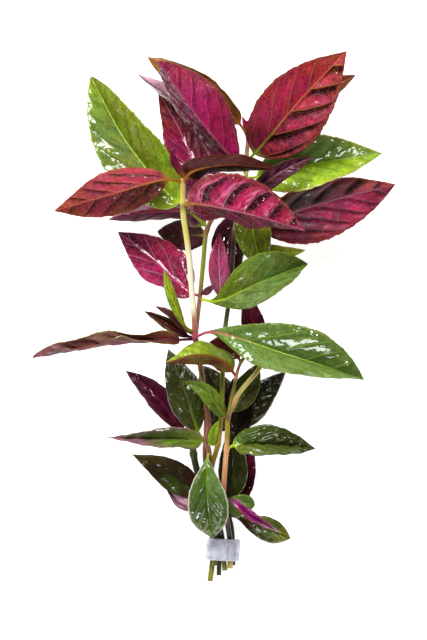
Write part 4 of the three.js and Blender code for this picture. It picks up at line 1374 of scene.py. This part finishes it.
LOWER_LEAVES = (
    Leaf("leaf_dark_green_left", K.GREEN, S.OVAL, 19, (15, 15), (-25, -25), ((-8.6, 55, 12.5),
         (-11.5, 57.5, 14.5), (-19.5, 80.5, 17), (-27.5, 101, 14)),
         Paint((T.BOTTLE, T.BOTTLE, T.PINE), (T.FERN, T.BOTTLE, T.PINE), T.FOREST, T.MOSS, T.PINE,
         T.INK, T.KHAKI, 0.5, (1, 1)), BLISTERED),
    Leaf("leaf_maroon_left", K.MAROON, S.OVAL, 15, (45, 45), (20, 20), ((-15.5, 55.5, 9.1),
         (-20.5, 60.5, 8), (-34, 77, 6), (-49, 90, 3)),
         Paint((T.MAROON, T.WINE, T.DUSK), (T.MAROON, T.WINE, T.SHADOW), T.WINE, T.WINE, T.DUSK,
         T.SHADOW, T.SHADOW, 0.5, (0.3, 0.3)), SOFT_RIDGED),
    Leaf("leaf_pink_green_left", K.MAUVE, S.TAPERED, 16, (58, 62), (18, 76), ((-8, 55, 20.3),
         (-13, 55, 23), (-34, 56, 22), (-58.5, 56.5, 16)),
         Paint((T.MOSS, T.GRASS, T.HEATHER, T.HEATHER), (T.MOSS, T.FERN, T.FERN, T.FERN, T.HEATHER),
         T.MOSS, T.MOSS, T.HEATHER, T.BLUSH, T.BOTTLE, 0.4, (0.3, 1)), GENTLE),
    Leaf("leaf_small_green_a", K.GREEN, S.OVATE, 9.5, (25, 25), (25, 25), ((2.3, 65.5, 26),
         (-0.5, 69, 29), (-9, 80, 31), (-20, 85, 28)),
         Paint((T.FOREST, T.MOSS), (T.MOSS, T.FOREST), T.GRASS, T.MOSS, T.CHARTREUSE, T.FOREST,
         T.KHAKI, 0.5)),
    Leaf("leaf_small_green_b", K.GREEN, S.OVAL, 6, (25, 25), (25, 25), ((-7.6, 52.5, 20.2),
         (-5.5, 54.5, 24), (-4.5, 59.5, 26.5), (-2, 65.5, 27.5)),
         Paint((T.CHARTREUSE, T.CHARTREUSE), (T.MOSS, T.CHARTREUSE), T.MOSS, T.CHARTREUSE, T.BRONZE,
         T.FOREST)),
    Leaf("leaf_black_green_right", K.MAROON, S.OVATE, 14, (8, 8), (5, 5), ((6, 60, 7),
         (10.5, 64, 5.2), (20, 78, 4.2), (32, 90, 3)),
         Paint((T.PINE, T.INK), (T.KHAKI, T.PINE), T.PINE, T.INK, T.INK, T.INK, T.UMBER, 0.5,
         (1, 1)), BLISTERED),
    Leaf("leaf_olive_under", K.LIME, S.OVAL, 13, (0, 0), (5, 5), ((2.5, 67.5, 26.1), (6, 72, 22),
         (12, 81.5, 20), (18, 94, 19)),
         Paint((T.FERN, T.KHAKI), (T.KHAKI, T.KHAKI), T.FERN, T.MOSS, T.MOSS, T.KHAKI, T.PINE,
         0.5)),
    Leaf("leaf_dark_low", K.GREEN, S.BROAD, 21, (5, 5), (5, 5), ((6.2, 61.5, 7.1), (2.2, 65, 8.5),
         (-4, 79.5, 9), (-10, 92.5, 8)),
         Paint((T.PINE, T.PINE), (T.KHAKI, T.PINE), T.PINE, T.INK, T.KHAKI, T.INK, T.KHAKI, 0.6,
         (0.8, 0.8)), BLISTERED),
    Leaf("leaf_dark_low_right", K.MAROON, S.BROAD, 17, (5, 5), (5, 5), ((5.7, 57, 6.8),
         (6.5, 61, 10.5), (7, 73, 12.5), (6, 87, 12)),
         Paint((T.SHADOW, T.SHADOW), (T.INK, T.INK), T.PINE, T.SHADOW, T.SHADOW, T.SHADOW, T.UMBER,
         0.4, (0.4, 0))),
    Leaf("leaf_green_right", K.GREEN, S.OVATE, 23, (32, 32), (62, 62), ((1.8, 51, 22.7),
         (6.5, 53, 22.5), (22.5, 53, 24), (46.5, 51, 20)),
         Paint((T.GRASS, T.FERN, T.BOTTLE, T.BOTTLE), (T.MOSS, T.FERN, T.BOTTLE), T.GRASS, T.LIME,
         T.FERN, T.WINE, T.KHAKI, 0.5, (1, 0.6)), BLISTERED),
    Leaf("leaf_dark_upright", K.GREEN, S.OVAL, 15, (5, 5), (10, 10), ((2.8, 21, 5), (3.6, 26.5, 9),
         (5.2, 40.5, 12), (3.5, 60.5, 12)),
         Paint((T.PINE, T.INK), (T.BOTTLE, T.BOTTLE, T.PINE), T.BOTTLE, T.PINE, T.MOSS, T.INK,
         T.INK, 0.5, (0.5, 0.5))),
    Leaf("leaf_maroon_upright", K.MAROON, S.BLUNT, 12, (5, 5), (15, 15), ((2.8, 22.5, 5),
         (7, 24.5, 4.4), (10.8, 40.5, 3.6), (8.5, 61.5, 3.2)),
         Paint((T.SHADOW, T.MAROON), (T.MAROON, T.WINE, T.WINE), T.WINE, T.MAROON, T.MAROON,
         T.SHADOW)),
    Leaf("leaf_round_green", K.GREEN, S.BLUNT, 11, (15, 15), (15, 15), ((2.9, 19, 4.9),
         (5, 20.5, 10), (10, 23.5, 13.5), (16, 22.5, 12.5)),
         Paint((T.FOREST, T.SAGE), (T.SAGE, T.FOREST), T.GRASS, T.FERN, T.MOSS, T.FERN)),
    Leaf("leaf_magenta_twist", K.MAUVE, S.OVAL, 9, (60, 60), (62, 62), ((0.3, 26, 13.6),
         (5, 25, 17), (15, 16.5, 17.5), (29.5, 8.5, 12)),
         Paint((T.CERISE, T.ORCHID, T.ORCHID, T.MAUVE, T.BLUSH),
         (T.ORCHID, T.CERISE, T.ORCHID, T.BLUSH, T.BLUSH), T.ORCHID, T.PLUM, T.MAUVE, T.ORCHID,
         T.PLUM, 0.5, (1, 1))),
    Leaf("leaf_bottom_right", K.GREEN, S.NECKED, 13, (10, 10), (50, 5), ((2.9, 17.5, 4.8),
         (7, 16.2, 4.3), (19, 11.3, 4), (34, 5.5, 2)),
         Paint((T.KHAKI, T.OLIVE, T.FERN, T.OLIVE), (T.MAROON, T.UMBER, T.FERN, T.OLIVE), T.KHAKI,
         T.MAROON, T.KHAKI, T.KHAKI, T.FERN, 0.5, (0.2, 0.8)), BLISTERED),
    Leaf("leaf_olive_left_low", K.GREEN, S.TAPERED, 16, (20, 20), (8, 8), ((-9.2, 28, 5.6),
         (-15, 30.5, 3.5), (-30.5, 40.5, 3), (-46, 48, 1.8)),
         Paint((T.PINE, T.FERN, T.PINE, T.KHAKI), (T.UMBER, T.PINE, T.KHAKI), T.PINE, T.INK,
         T.UMBER, T.INK, T.UMBER, 0.6, (0.3, 0.1))),
    Leaf("leaf_maroon_low_left", K.MAROON, S.OVAL, 7.5, (30, 30), (10, 10), ((-8.3, 23, 5),
         (-13, 21.5, 3.8), (-20.5, 23.5, 3), (-28.5, 30.5, 2)),
         Paint((T.MAUVE, T.HEATHER, T.MAROON), (T.BLUSH, T.BLUSH, T.BLUSH), T.BLUSH, T.MAUVE,
         T.BLUSH, T.SHADOW)),
    Leaf("leaf_front_oval", K.GREEN, S.NECKED, 21, (12, 12), (12, 12), ((-7, 49, 20),
         (-7.8, 45.5, 25), (-8, 27, 26), (-5, 6, 17)),
         Paint((T.GRASS, T.SAGE, T.FERN, T.FOREST), (T.GRASS, T.FOREST, T.FERN, T.MOSS), T.GRASS,
         T.CHARTREUSE, T.CREAM, T.FERN, T.FERN, 0.4, (0.95, 0.95)), BLISTERED),
)


@dataclass
class Foliage:
    """All the leaves of the bunch."""

    leaves: tuple[Leaf, ...] = TOP_LEAVES + UPPER_LEAVES + MIDDLE_LEAVES + LOWER_LEAVES

    def build(self, relief: LeafReliefTree, skins: Skins) -> None:
        """Builds every leaf.

        Args:
            relief: the shared relief nodes.
            skins: the upper and lower skins of each family.
        """
        for leaf in self.leaves:
            leaf.build(relief, skins)


@dataclass(frozen=True)
class GrowingTip:
    """The tiny folded leaves at the top of the tallest stem, fused at their foot."""

    base: Point = (12.9, 209.4, 20.6)
    arch: float = 0.8
    leaves: tuple[tuple[float, Point], ...] = (
        (3.0, (9.6, 217.5, 23)),
        (3.2, (14.6, 219.5, 22.5)),
        (2.6, (12, 215.5, 26.5)),
        (2.6, (16, 214.5, 19.5)),
    )
    paint: Paint = Paint((T.CERISE, T.MAGENTA), (T.MAGENTA, T.WINE), T.ROSE, T.MAGENTA, T.MAGENTA,
                         T.WINE)

    def build(self, relief: LeafReliefTree, skins: Skins) -> None:
        """Builds the small leaves as one piece.

        Args:
            relief: the shared relief nodes.
            skins: the upper and lower skins of each family.
        """
        meshes = []
        for number, (width, tip) in enumerate(self.leaves):
            x, y, z = ((a + b) / 2 for a, b in zip(self.base, tip))
            small = Leaf(f"bud_leaf_{number}", K.CRIMSON, S.OVATE, width, (20, 20), (20, 20),
                         (self.base, (x, y, z + self.arch), tip), self.paint, BUD_RELIEF)
            meshes.append(small.quilted(relief, skins))
        settle("tip_bud_leaves", join_meshes(meshes), "tip_bud")


def join_meshes(meshes: list[bpy.types.Mesh]) -> bpy.types.Mesh:
    """Joins meshes with the same materials into one.

    Args:
        meshes: the meshes, which are removed.

    Returns:
        The joined mesh.
    """
    together = bmesh.new()
    for mesh in meshes:
        together.from_mesh(mesh)
    joined = meshes[0].copy()
    together.to_mesh(joined)
    together.free()
    for mesh in meshes:
        bpy.data.meshes.remove(mesh)
    return joined


@dataclass(frozen=True)
class StemSkin:
    """A smooth juicy stem: thin waxy bark over pale pith, faintly striped along its length.

    The wax gives a soft bright line along the stem. The stripes' scales are in cycles round the
    stem and in cycles a millimetre along it, and they stand up by a fraction of a millimetre.
    """

    name: str = "juicy stem bark"
    round_scale: float = 2.2
    length_scale: float = 0.06
    stripe_scale: float = 1.4
    stripe_height: float = 0.15
    stripe_values: tuple[float, ...] = (0.3, 0.7, 0.74, 1.22)
    roughness: float = 0.4
    bark_ior: float = 1.42
    wax: float = 0.4
    wax_roughness: float = 0.15
    wax_ior: float = 1.34
    glow: float = 0.12
    glow_depth: float = 0.6

    def material(self) -> Material:
        """Builds the procedural material.

        Returns:
            The material.
        """
        material, tree = bare_material(self.name)
        tint, run, turn = (
            add(tree, "ShaderNodeAttribute", attribute_name=name).outputs[output]
            for name, output in (("tint", "Color"), ("run", "Fac"), ("turn", "Vector")))
        scaled = add(tree, VECTOR_MATH, (turn, (self.round_scale,) * 3), operation="MULTIPLY")
        lengthways = add(tree, MATH, (run, self.length_scale), operation="MULTIPLY")
        upright = add(tree, "ShaderNodeCombineXYZ", {"Z": lengthways})
        where = add(tree, VECTOR_MATH, (scaled, upright), operation="ADD")
        stripes = add(tree, NOISE, {"Vector": where, "Scale": self.stripe_scale, "Detail": 4.0})
        value = add(tree, MAP_RANGE, (stripes, *self.stripe_values))
        bump = add(tree, "ShaderNodeBump", {
            "Height": stripes, "Strength": 0.5, "Distance": self.stripe_height * MM,
        })
        shader = add(tree, "ShaderNodeBsdfPrincipled", {
            "Base Color": add(tree, "ShaderNodeHueSaturation", {"Value": value, "Color": tint}),
            "Roughness": self.roughness, "IOR": self.bark_ior, "Coat Weight": self.wax,
            "Coat Roughness": self.wax_roughness, "Coat IOR": self.wax_ior, "Normal": bump,
            "Subsurface Weight": self.glow, "Subsurface Scale": self.glow_depth * MM,
        })
        add(tree, "ShaderNodeOutputMaterial", {"Surface": shader})
        return material


class StemTree:
    """Geometry nodes that sweep a stem's section along its charted line."""

    SIDES = 20

    def __init__(self) -> None:
        """Builds the tree once for all stems."""
        self.tree = bpy.data.node_groups.new("stem sweep", "GeometryNodeTree")
        tree = self.tree
        face = tree.interface
        face.new_socket("Geometry", in_out="INPUT", socket_type="NodeSocketGeometry")
        sides = face.new_socket("Sides", in_out="INPUT", socket_type="NodeSocketInt")
        sides.default_value = self.SIDES
        face.new_socket("Bark", in_out="INPUT", socket_type="NodeSocketMaterial")
        face.new_socket("Geometry", in_out="OUTPUT", socket_type="NodeSocketGeometry")
        given = tree.nodes.new("NodeGroupInput").outputs
        thick = add(tree, "GeometryNodeInputNamedAttribute", {"Name": "thick"},
                    data_type="FLOAT")
        curve = add(tree, "GeometryNodeMeshToCurve", {"Mesh": given["Geometry"]})
        profile = add(tree, "GeometryNodeCurvePrimitiveCircle", {
            "Resolution": given["Sides"], "Radius": 1.0,
        })
        place = add(tree, "GeometryNodeInputPosition")
        marked = add(tree, "GeometryNodeStoreNamedAttribute", {
            "Geometry": profile, "Name": "turn", "Value": place,
        }, data_type="FLOAT_VECTOR")
        swept = add(tree, "GeometryNodeCurveToMesh", {
            "Curve": curve, "Profile Curve": marked, "Scale": thick, "Fill Caps": True,
        })
        smoothed = add(tree, "GeometryNodeSetShadeSmooth", {"Geometry": swept})
        real = add(tree, "GeometryNodeRealizeInstances", {"Geometry": smoothed})
        dressed = add(tree, "GeometryNodeSetMaterial", {
            "Geometry": real, "Material": given["Bark"],
        })
        add(tree, "NodeGroupOutput", {"Geometry": dressed})


@dataclass(frozen=True)
class Stem:
    """One stem, with its radii at foot and top, its swollen nodes and its colours by height."""

    name: str
    radii: Pair
    nodes: tuple[int, ...]
    path: tuple[Point, ...]
    colours: tuple[tuple[float, Tint], ...]
    swelling: float = 0.24
    node_reach: float = 1.3
    spacing: float = 0.8

    def build(self, sweep: StemTree, bark: Material) -> None:
        """Sweeps the stem and puts it in the place of its solid.

        Args:
            sweep: the shared sweep nodes.
            bark: the stem's material.
        """
        line = SmoothLine(self.path)
        count = max(24, round(line.length / self.spacing))
        shares = np.linspace(0, 1, count)
        points, _, length = line.at(shares)
        run = shares * length
        thick = self.radii[0] + (self.radii[1] - self.radii[0]) * shares
        for number in self.nodes:
            where = np.argmin(np.linalg.norm(points - np.array(self.path[number]), axis=1))
            bulge = np.exp(-((run - run[where]) / self.node_reach) ** 2)
            thick = thick * (1 + self.swelling * bulge)
        heights, tints = zip(*self.colours)
        mesh = bpy.data.meshes.new(f"{self.name}_line")
        mesh.from_pydata((points * MM).tolist(), [(i, i + 1) for i in range(count - 1)], [])
        give(mesh, "thick", thick * MM)
        give(mesh, "tint", blended(points[:, 1], np.array(heights), tints))
        give(mesh, "run", run)
        made = evaluated(placed(mesh.name, mesh), sweep.tree, {"Bark": bark})
        settle(f"{self.name}_bark", made, self.name)


@dataclass
class Stems:
    """All the stems of the bunch."""

    # Each stem's near black just above the strip, from about 3 to 14 mm, is painted shade
    stems: tuple[Stem, ...] = (
        Stem("stem_left", (1.25, 1.45), (6, 7, 12, 18),
             ((1, -10.5, 6.2), (0, 0, 6.3), (-0.4, 6, 6.8), (-3.3, 19, 12.2), (-6, 37, 17.4),
              (-7, 49, 20), (-8, 55, 20.3), (-7, 61, 20.5), (-8.5, 73.5, 21.5),
              (-10, 84.5, 22.5), (-11.5, 93, 24), (-13.3, 103, 26.8), (-14, 107, 28),
              (-14.3, 115.5, 29.3), (-15.4, 128, 30.4), (-16.8, 145.5, 31.5), (-18, 155.5, 32),
              (-19.8, 168, 32.7), (-20, 173.5, 33), (-20, 186.5, 34.5)),
             ((-12, T.OLIVE), (4, T.PAINTED_STEM_SHADE), (12, T.PAINTED_STEM_SHADE), (20, T.STEM_OLIVE),
              (50, T.STEM_BROWN), (66, T.STEM_BROWN), (84, T.STEM_OLIVE), (98, T.STEM_BROWN),
              (104, T.EMBER), (108, T.CORAL), (116, T.TAN), (122, T.CREAM), (146, T.CREAM),
              (156, T.STRAW), (168, T.STRAW), (172, T.OLIVE), (175, T.STRAW), (188, T.PEACH))),
        Stem("stem_centre", (1.2, 1.1), (7, 10, 15),
             ((-2, -13, 3), (-1.8, 0, 3), (-2.2, 10, 3.9), (-4.4, 20, 5), (-6.8, 30.5, 7.5),
              (-8.7, 42, 9.6), (-9, 50.5, 11.4), (-8.7, 54.5, 12.5), (-8.5, 73.5, 15.4),
              (-10.2, 84.5, 17.2), (-12.4, 97, 20.6), (-13.4, 108, 23.1), (-12.6, 118, 24.2),
              (-11.5, 127, 24.5), (-10, 143, 25.5), (-8, 160.5, 26), (-3.5, 170, 26.8),
              (0.5, 183, 26)),
             ((-14, T.KHAKI), (3, T.PAINTED_STEM_SHADE), (14, T.PAINTED_STEM_SHADE), (24, T.UMBER), (50, T.STEM_BROWN),
              (84, T.STEM_BROWN), (110, T.STEM_BROWN), (122, T.TAN), (130, T.STEM_OLIVE),
              (140, T.STEM_GREEN), (154, T.STEM_GREEN), (161, T.TAN), (172, T.TAN),
              (184, T.MAUVE))),
        Stem("stem_tall", (1.35, 1.1), (7, 10, 13, 15),
             ((-3.9, -8, 6), (-3.7, 0, 6.2), (-3.9, 6, 6.5), (-4.4, 11, 7.6), (-5.3, 20, 8.6),
              (-6, 30.5, 10.8), (-5.5, 42, 13.5), (-2.6, 53, 16.4), (-0.8, 68, 17.8),
              (-0.3, 85, 19.4), (1, 110.5, 21), (2.8, 124, 21.5), (4.6, 144, 21.3),
              (5.8, 160.5, 21), (9.2, 175, 20.5), (11.8, 191, 20), (12, 199, 20),
              (12.8, 208.5, 20.2)),
             ((-9, T.OLIVE), (4, T.PAINTED_STEM_SHADE), (14, T.PAINTED_STEM_SHADE), (24, T.OLIVE), (44, T.MUSTARD),
              (62, T.MUSTARD), (76, T.STEM_GREEN), (108, T.STEM_GREEN), (118, T.KHAKI),
              (124, T.UMBER), (154, T.UMBER), (162, T.STEM_OLIVE), (172, T.TAN), (190, T.STRAW),
              (202, T.TAN), (209, T.BLUSH))),
        Stem("stem_right", (1.4, 1.15), (7, 9),
             ((3.6, -9.5, 6.2), (3.7, 0, 6.3), (3.4, 6, 6.8), (2, 15, 10.5), (0.3, 26, 13.6),
              (0.7, 36, 17.2), (1.3, 45, 20.6), (1.8, 51, 22.7), (2.2, 60, 25),
              (2.4, 66.5, 26.1), (5, 73, 26.4), (8.5, 79.5, 26), (13.5, 85.5, 25.9),
              (17, 89.5, 25.4), (21.5, 97, 24.6), (24, 101, 24)),
             ((-10, T.STRAW), (4, T.PAINTED_STEM_SHADE), (12, T.PAINTED_STEM_SHADE), (20, T.TAN), (28, T.CORAL),
              (36, T.PEACH), (52, T.PEACH), (58, T.MUSTARD), (64, T.MUSTARD), (67, T.STEM_BROWN),
              (74, T.PEACH), (82, T.STRAW), (92, T.MUSTARD), (102, T.OLIVE))),
        Stem("side_shoot", (0.95, 0.75), (4, 5),
             ((2.4, 66.5, 26.1), (2.6, 68, 28.8), (3.4, 72, 30.4), (5, 79, 31.2),
              (6.5, 87, 31.7), (9, 94.5, 31.6), (12, 97.8, 31.2)),
             ((66, T.STEM_BROWN), (72, T.OLIVE), (84, T.KHAKI), (87, T.TAN), (91, T.STEM_BROWN),
              (98, T.OLIVE))),
        Stem("stem_back", (1.1, 0.8), (4, 6),
             ((5.2, -8, 3.1), (5.2, 0, 3.1), (4.6, 10.5, 3.6), (2.9, 19, 4.9),
              (2.7, 25.5, 5.3), (5, 45.5, 6.2), (6, 60, 7), (8, 71, 8.2)),
             ((-9, T.KHAKI), (6, T.KHAKI), (18, T.PINE), (56, T.PINE), (72, T.PINE))),
        Stem("stem_dark", (1.4, 1.8), (5, 7),
             ((-6.6, -16, 3.3), (-5.3, -6, 3.2), (-5, 0, 3.2), (-5.4, 7, 3.4), (-8, 22, 4.9),
              (-9, 27, 5.5), (-12.5, 38, 7), (-14.8, 48, 8.6), (-15.6, 57, 9.2)),
             ((-17, T.OLIVE), (-4, T.OLIVE), (8, T.PAINTED_STEM_SHADE), (26, T.KHAKI), (40, T.PINE),
              (50, T.BOTTLE), (58, T.UMBER))),
    )

    def build(self) -> None:
        """Builds every stem, all with the same bark."""
        bark = StemSkin().material()
        sweep = StemTree()
        for stem in self.stems:
            stem.build(sweep, bark)


@dataclass(frozen=True)
class SoftLead:
    """Soft lead strip, rolled thin and dulled by air: a bright grey skin with fine pits.

    The pits and the cloudy stains are as wide as real ones, in millimetres.
    """

    name: str = "dull rolled lead"
    pit_size: float = 0.5
    stain_size: float = 3.2
    pit_depth: float = 0.2
    pit_share: float = 0.5
    values: tuple[float, ...] = (0.55, 0.95, 0.72, 1.12)
    metallic: float = 0.55
    roughness: float = 0.55

    def material(self) -> Material:
        """Builds the procedural material.

        Returns:
            The material.
        """
        material, tree = bare_material(self.name)
        place = add(tree, "ShaderNodeTexCoord").outputs["Object"]
        pits = add(tree, NOISE, {"Vector": place, "Scale": 1 / (self.pit_size * MM),
                                 "Detail": 3.0, "Roughness": 0.7})
        stains = add(tree, NOISE, {"Vector": place, "Scale": 1 / (self.stain_size * MM),
                                   "Detail": 3.0})
        both = add(tree, MATH, (pits, self.pit_share, stains), operation="MULTIPLY_ADD")
        value = add(tree, MAP_RANGE, (both, *self.values))
        colour = add(tree, "ShaderNodeHueSaturation", {
            "Value": value, "Color": linear(Tint.LAVENDER_GREY),
        })
        bump = add(tree, "ShaderNodeBump", {
            "Height": both, "Strength": 0.5, "Distance": self.pit_depth * MM,
        })
        shader = add(tree, "ShaderNodeBsdfPrincipled", {
            "Base Color": colour, "Metallic": self.metallic, "Roughness": self.roughness,
            "Normal": bump,
        })
        add(tree, "ShaderNodeOutputMaterial", {"Surface": shader})
        return material


@dataclass(frozen=True)
class LeadStrip:
    """The soft strip bent once round the stems, with its end lapped over its start."""

    height: float = 11.0
    across: float = 17.0
    depth: float = 8.6
    corner: float = 3.4
    thickness: float = 1.2
    lap: float = 7.0
    gap: float = 0.3
    turn: float = -3.0
    spacing: float = 0.4
    corner_steps: int = 12
    rows: int = 28
    edge_sharpness: int = 14
    end_sharpness: int = 160
    dent: float = 0.16
    dents_along: Pair = (0.9, 0.23)
    dents_across: Pair = (0.5, 0.8)
    crease: float = 0.25
    crease_from_end: float = 3.2
    crease_slant: float = 0.12
    crease_width: float = 0.5
    denting: float = 0.6

    def line(self) -> Array:
        """The strip's middle line, seen along the stems.

        Returns:
            Points in X and Z, from the covered end round to the lapped end.
        """
        half = (self.across - self.thickness) / 2
        low = self.thickness / 2
        high = self.depth + self.thickness / 2
        lift = self.thickness + self.gap
        right = half - self.corner
        points = [(-half + self.corner, high)]
        turns = ((right, high - self.corner, 90, 0), (right, low + self.corner, 0, 0),
                 (-right, low + self.corner, -90, 0), (-right, high - self.corner, 180, lift))
        for x, z, start, grow in turns:
            for i in range(self.corner_steps + 1):
                share = i / self.corner_steps
                angle = math.radians(start - 90 * share)
                reach = self.corner + grow * share
                points.append((x + reach * math.cos(angle), z + reach * math.sin(angle)))
        points.append((-right + self.lap, high + lift))
        line = np.array(points)
        run = along_line(line)
        wanted = np.linspace(0, run[-1], round(run[-1] / self.spacing))
        return np.stack([np.interp(wanted, run, line[:, k]) for k in range(2)], axis=1)

    def build(self) -> None:
        """Builds the strip with softened edges, shallow dents and a crease near its end."""
        line = self.line()
        count = len(line)
        tangent = unit(np.gradient(line, axis=0))
        outward = np.stack([-tangent[:, 1], tangent[:, 0]], axis=1)
        across = np.linspace(-1, 1, self.rows)
        soft = np.sqrt(np.clip(1 - np.abs(across) ** self.edge_sharpness, 0, 1))
        run = np.linspace(0, count * self.spacing, count)[:, None]
        width = across[None, :] * self.height / 2
        (fast, slow), (narrow, wide) = self.dents_along, self.dents_across
        dent = self.dent * np.sin(run * fast + width * narrow)
        dent = dent * np.sin(width * wide + 1 + run * slow)
        from_crease = run - run[-1] + self.crease_from_end + self.crease_slant * width
        dent = dent - self.crease * np.exp(-(from_crease / self.crease_width) ** 2)
        ends = np.abs(np.linspace(-1, 1, count)) ** self.end_sharpness
        half = self.thickness / 2 * soft[None, :] * np.sqrt(np.clip(1 - ends, 0, 1))[:, None]
        skins = []
        for sign in (1, -1):
            stand = sign * half + dent * self.denting
            x, z = (line[:, k][:, None] + outward[:, k][:, None] * stand for k in range(2))
            skins.append(np.stack([x, np.broadcast_to(width, x.shape), z], axis=-1))
        ring = np.concatenate([skins[0], skins[1][:, -2:0:-1]], axis=1)
        angle = math.radians(self.turn)
        spin = np.array([[math.cos(angle), -math.sin(angle), 0],
                         [math.sin(angle), math.cos(angle), 0], [0, 0, 1]])
        ends_at = [[x, 0, z] for x, z in line[[0, -1]]]
        points = np.vstack([ring.reshape(-1, 3), ends_at]) @ spin.T
        points[:, 2] = np.maximum(points[:, 2], 0.0)
        made = mesh_object("strip_raw", points, ring_faces(count, ring.shape[1]))
        mesh = made.data
        mesh.shade_smooth()
        mesh.materials.append(SoftLead().material())
        bpy.data.objects.remove(made)
        settle("lead_strip_sheet", mesh, "lead_strip")


@dataclass(frozen=True)
class PaleTable:
    """The pale seamless surface that the bunch lies on, which curves up far away, in metres."""

    radius: float = 9.0
    rise: float = 3.0
    flat: float = 6.0
    level: float = -0.0002
    inner_rings: tuple[float, ...] = (0.4, 1.2, 3.0)
    outer_rings: int = 14
    around: int = 72

    def build(self) -> None:
        """Builds the table, a hair below the strip."""
        rings = np.concatenate([
            self.inner_rings, np.linspace(self.flat, self.radius, self.outer_rings)])
        around = self.around
        angles = np.linspace(0, 2 * np.pi, around, endpoint=False)
        share = np.clip((rings - self.flat) / (self.radius - self.flat), 0, 1)
        heights = self.level + self.rise * share ** 2
        flat = [(r * math.cos(a), r * math.sin(a), h) for r, h in zip(rings, heights)
                for a in angles]
        faces = [(r * around + i, (r + 1) * around + i, (r + 1) * around + (i + 1) % around,
                  r * around + (i + 1) % around)
                 for r in range(len(rings) - 1) for i in range(around)]
        faces += [(len(flat), i, (i + 1) % around) for i in range(around)]
        mesh = bpy.data.meshes.new("pale_table")
        mesh.from_pydata([*flat, (0.0, 0.0, self.level)], [], faces)
        mesh.shade_smooth()
        mesh.materials.append(self.material())
        placed("pale_table", mesh)

    def material(self) -> Material:
        """Builds matt white paper, lit a little from behind as a light table is.

        Returns:
            The material.
        """
        material, tree = bare_material("matt white paper")
        shader = add(tree, "ShaderNodeBsdfPrincipled", {
            "Base Color": linear(Tint.PALE_FLOOR), "Roughness": 0.9,
            "Emission Color": (1.0, 0.995, 0.99, 1.0), "Emission Strength": 0.8,
        })
        add(tree, "ShaderNodeOutputMaterial", {"Surface": shader})
        return material


@dataclass(frozen=True)
class Softbox:
    """A soft light: where it stands from the middle of the bunch, its size, both in metres, and
    its power in watts."""

    name: str
    place: Point
    wide: float
    tall: float
    watts: float

    def build(self, centre: Point) -> None:
        """Adds the light, turned to the bunch.

        Args:
            centre: the middle of the bunch.
        """
        data = bpy.data.lights.new(self.name, "AREA")
        data.shape = "RECTANGLE"
        data.size = self.wide
        data.size_y = self.tall
        data.energy = self.watts
        lamp = placed(self.name, data)
        lamp.location = Vector(centre) + Vector(self.place)
        lamp.rotation_euler = (-Vector(self.place)).to_track_quat("-Z", "Y").to_euler()


@dataclass(frozen=True)
class Studio:
    """The camera above the bunch and the soft lights around it, in metres."""

    centre: Point = (-0.00475, 0.1155, 0.0)
    height: float = 4.0
    frame_height: float = 0.32
    middle_level: float = 0.03
    sensor: float = 24.0
    far: float = 100.0
    sky: float = 0.05
    lights: tuple[Softbox, ...] = (
        Softbox("window softbox", (-0.69, 1.49, 1.47), 1.05, 1.05, 60.0),
        Softbox("top softbox", (0.38, 1.33, 2.0), 0.5, 0.5, 14.0),
        Softbox("front softbox", (-0.4, -1.6, 1.55), 1.1, 0.32, 17.0),
        Softbox("small lamp", (0.35, -0.2, 2.2), 0.12, 0.12, 2.7),
    )

    def build(self) -> None:
        """Builds the camera, the lights and the sky."""
        self.camera()
        for light in self.lights:
            light.build(self.centre)
        world = bpy.data.worlds.new("white room")
        world.use_nodes = True
        sky = world.node_tree.nodes["Background"]
        sky.inputs["Color"].default_value = (1.0, 1.0, 1.0, 1.0)
        sky.inputs["Strength"].default_value = self.sky
        bpy.context.scene.world = world
        bpy.context.scene.view_settings.view_transform = "Standard"

    def camera(self) -> None:
        """Hangs the camera straight above the bunch, with the growing tips at the top."""
        data = bpy.data.cameras.new("camera")
        data.sensor_fit = "VERTICAL"
        data.sensor_height = self.sensor
        data.lens = self.sensor * (self.height - self.middle_level) / self.frame_height
        data.clip_end = self.far
        camera = placed("camera", data)
        camera.location = (self.centre[0], self.centre[1], self.height)
        bpy.context.scene.camera = camera


def main() -> None:
    """Builds the bunch, its table and the studio."""
    logging.basicConfig(level=logging.INFO, format="%(message)s")
    Studio().build()
    PaleTable().build()
    relief = LeafReliefTree()
    under = UNDERSIDE.material()
    skins = {kind: (surface.material(), under) for kind, surface in LEAF_SURFACES.items()}
    Foliage().build(relief, skins)
    GrowingTip().build(relief, skins)
    Stems().build()
    LeadStrip().build()


if __name__ == "__main__":
    main()
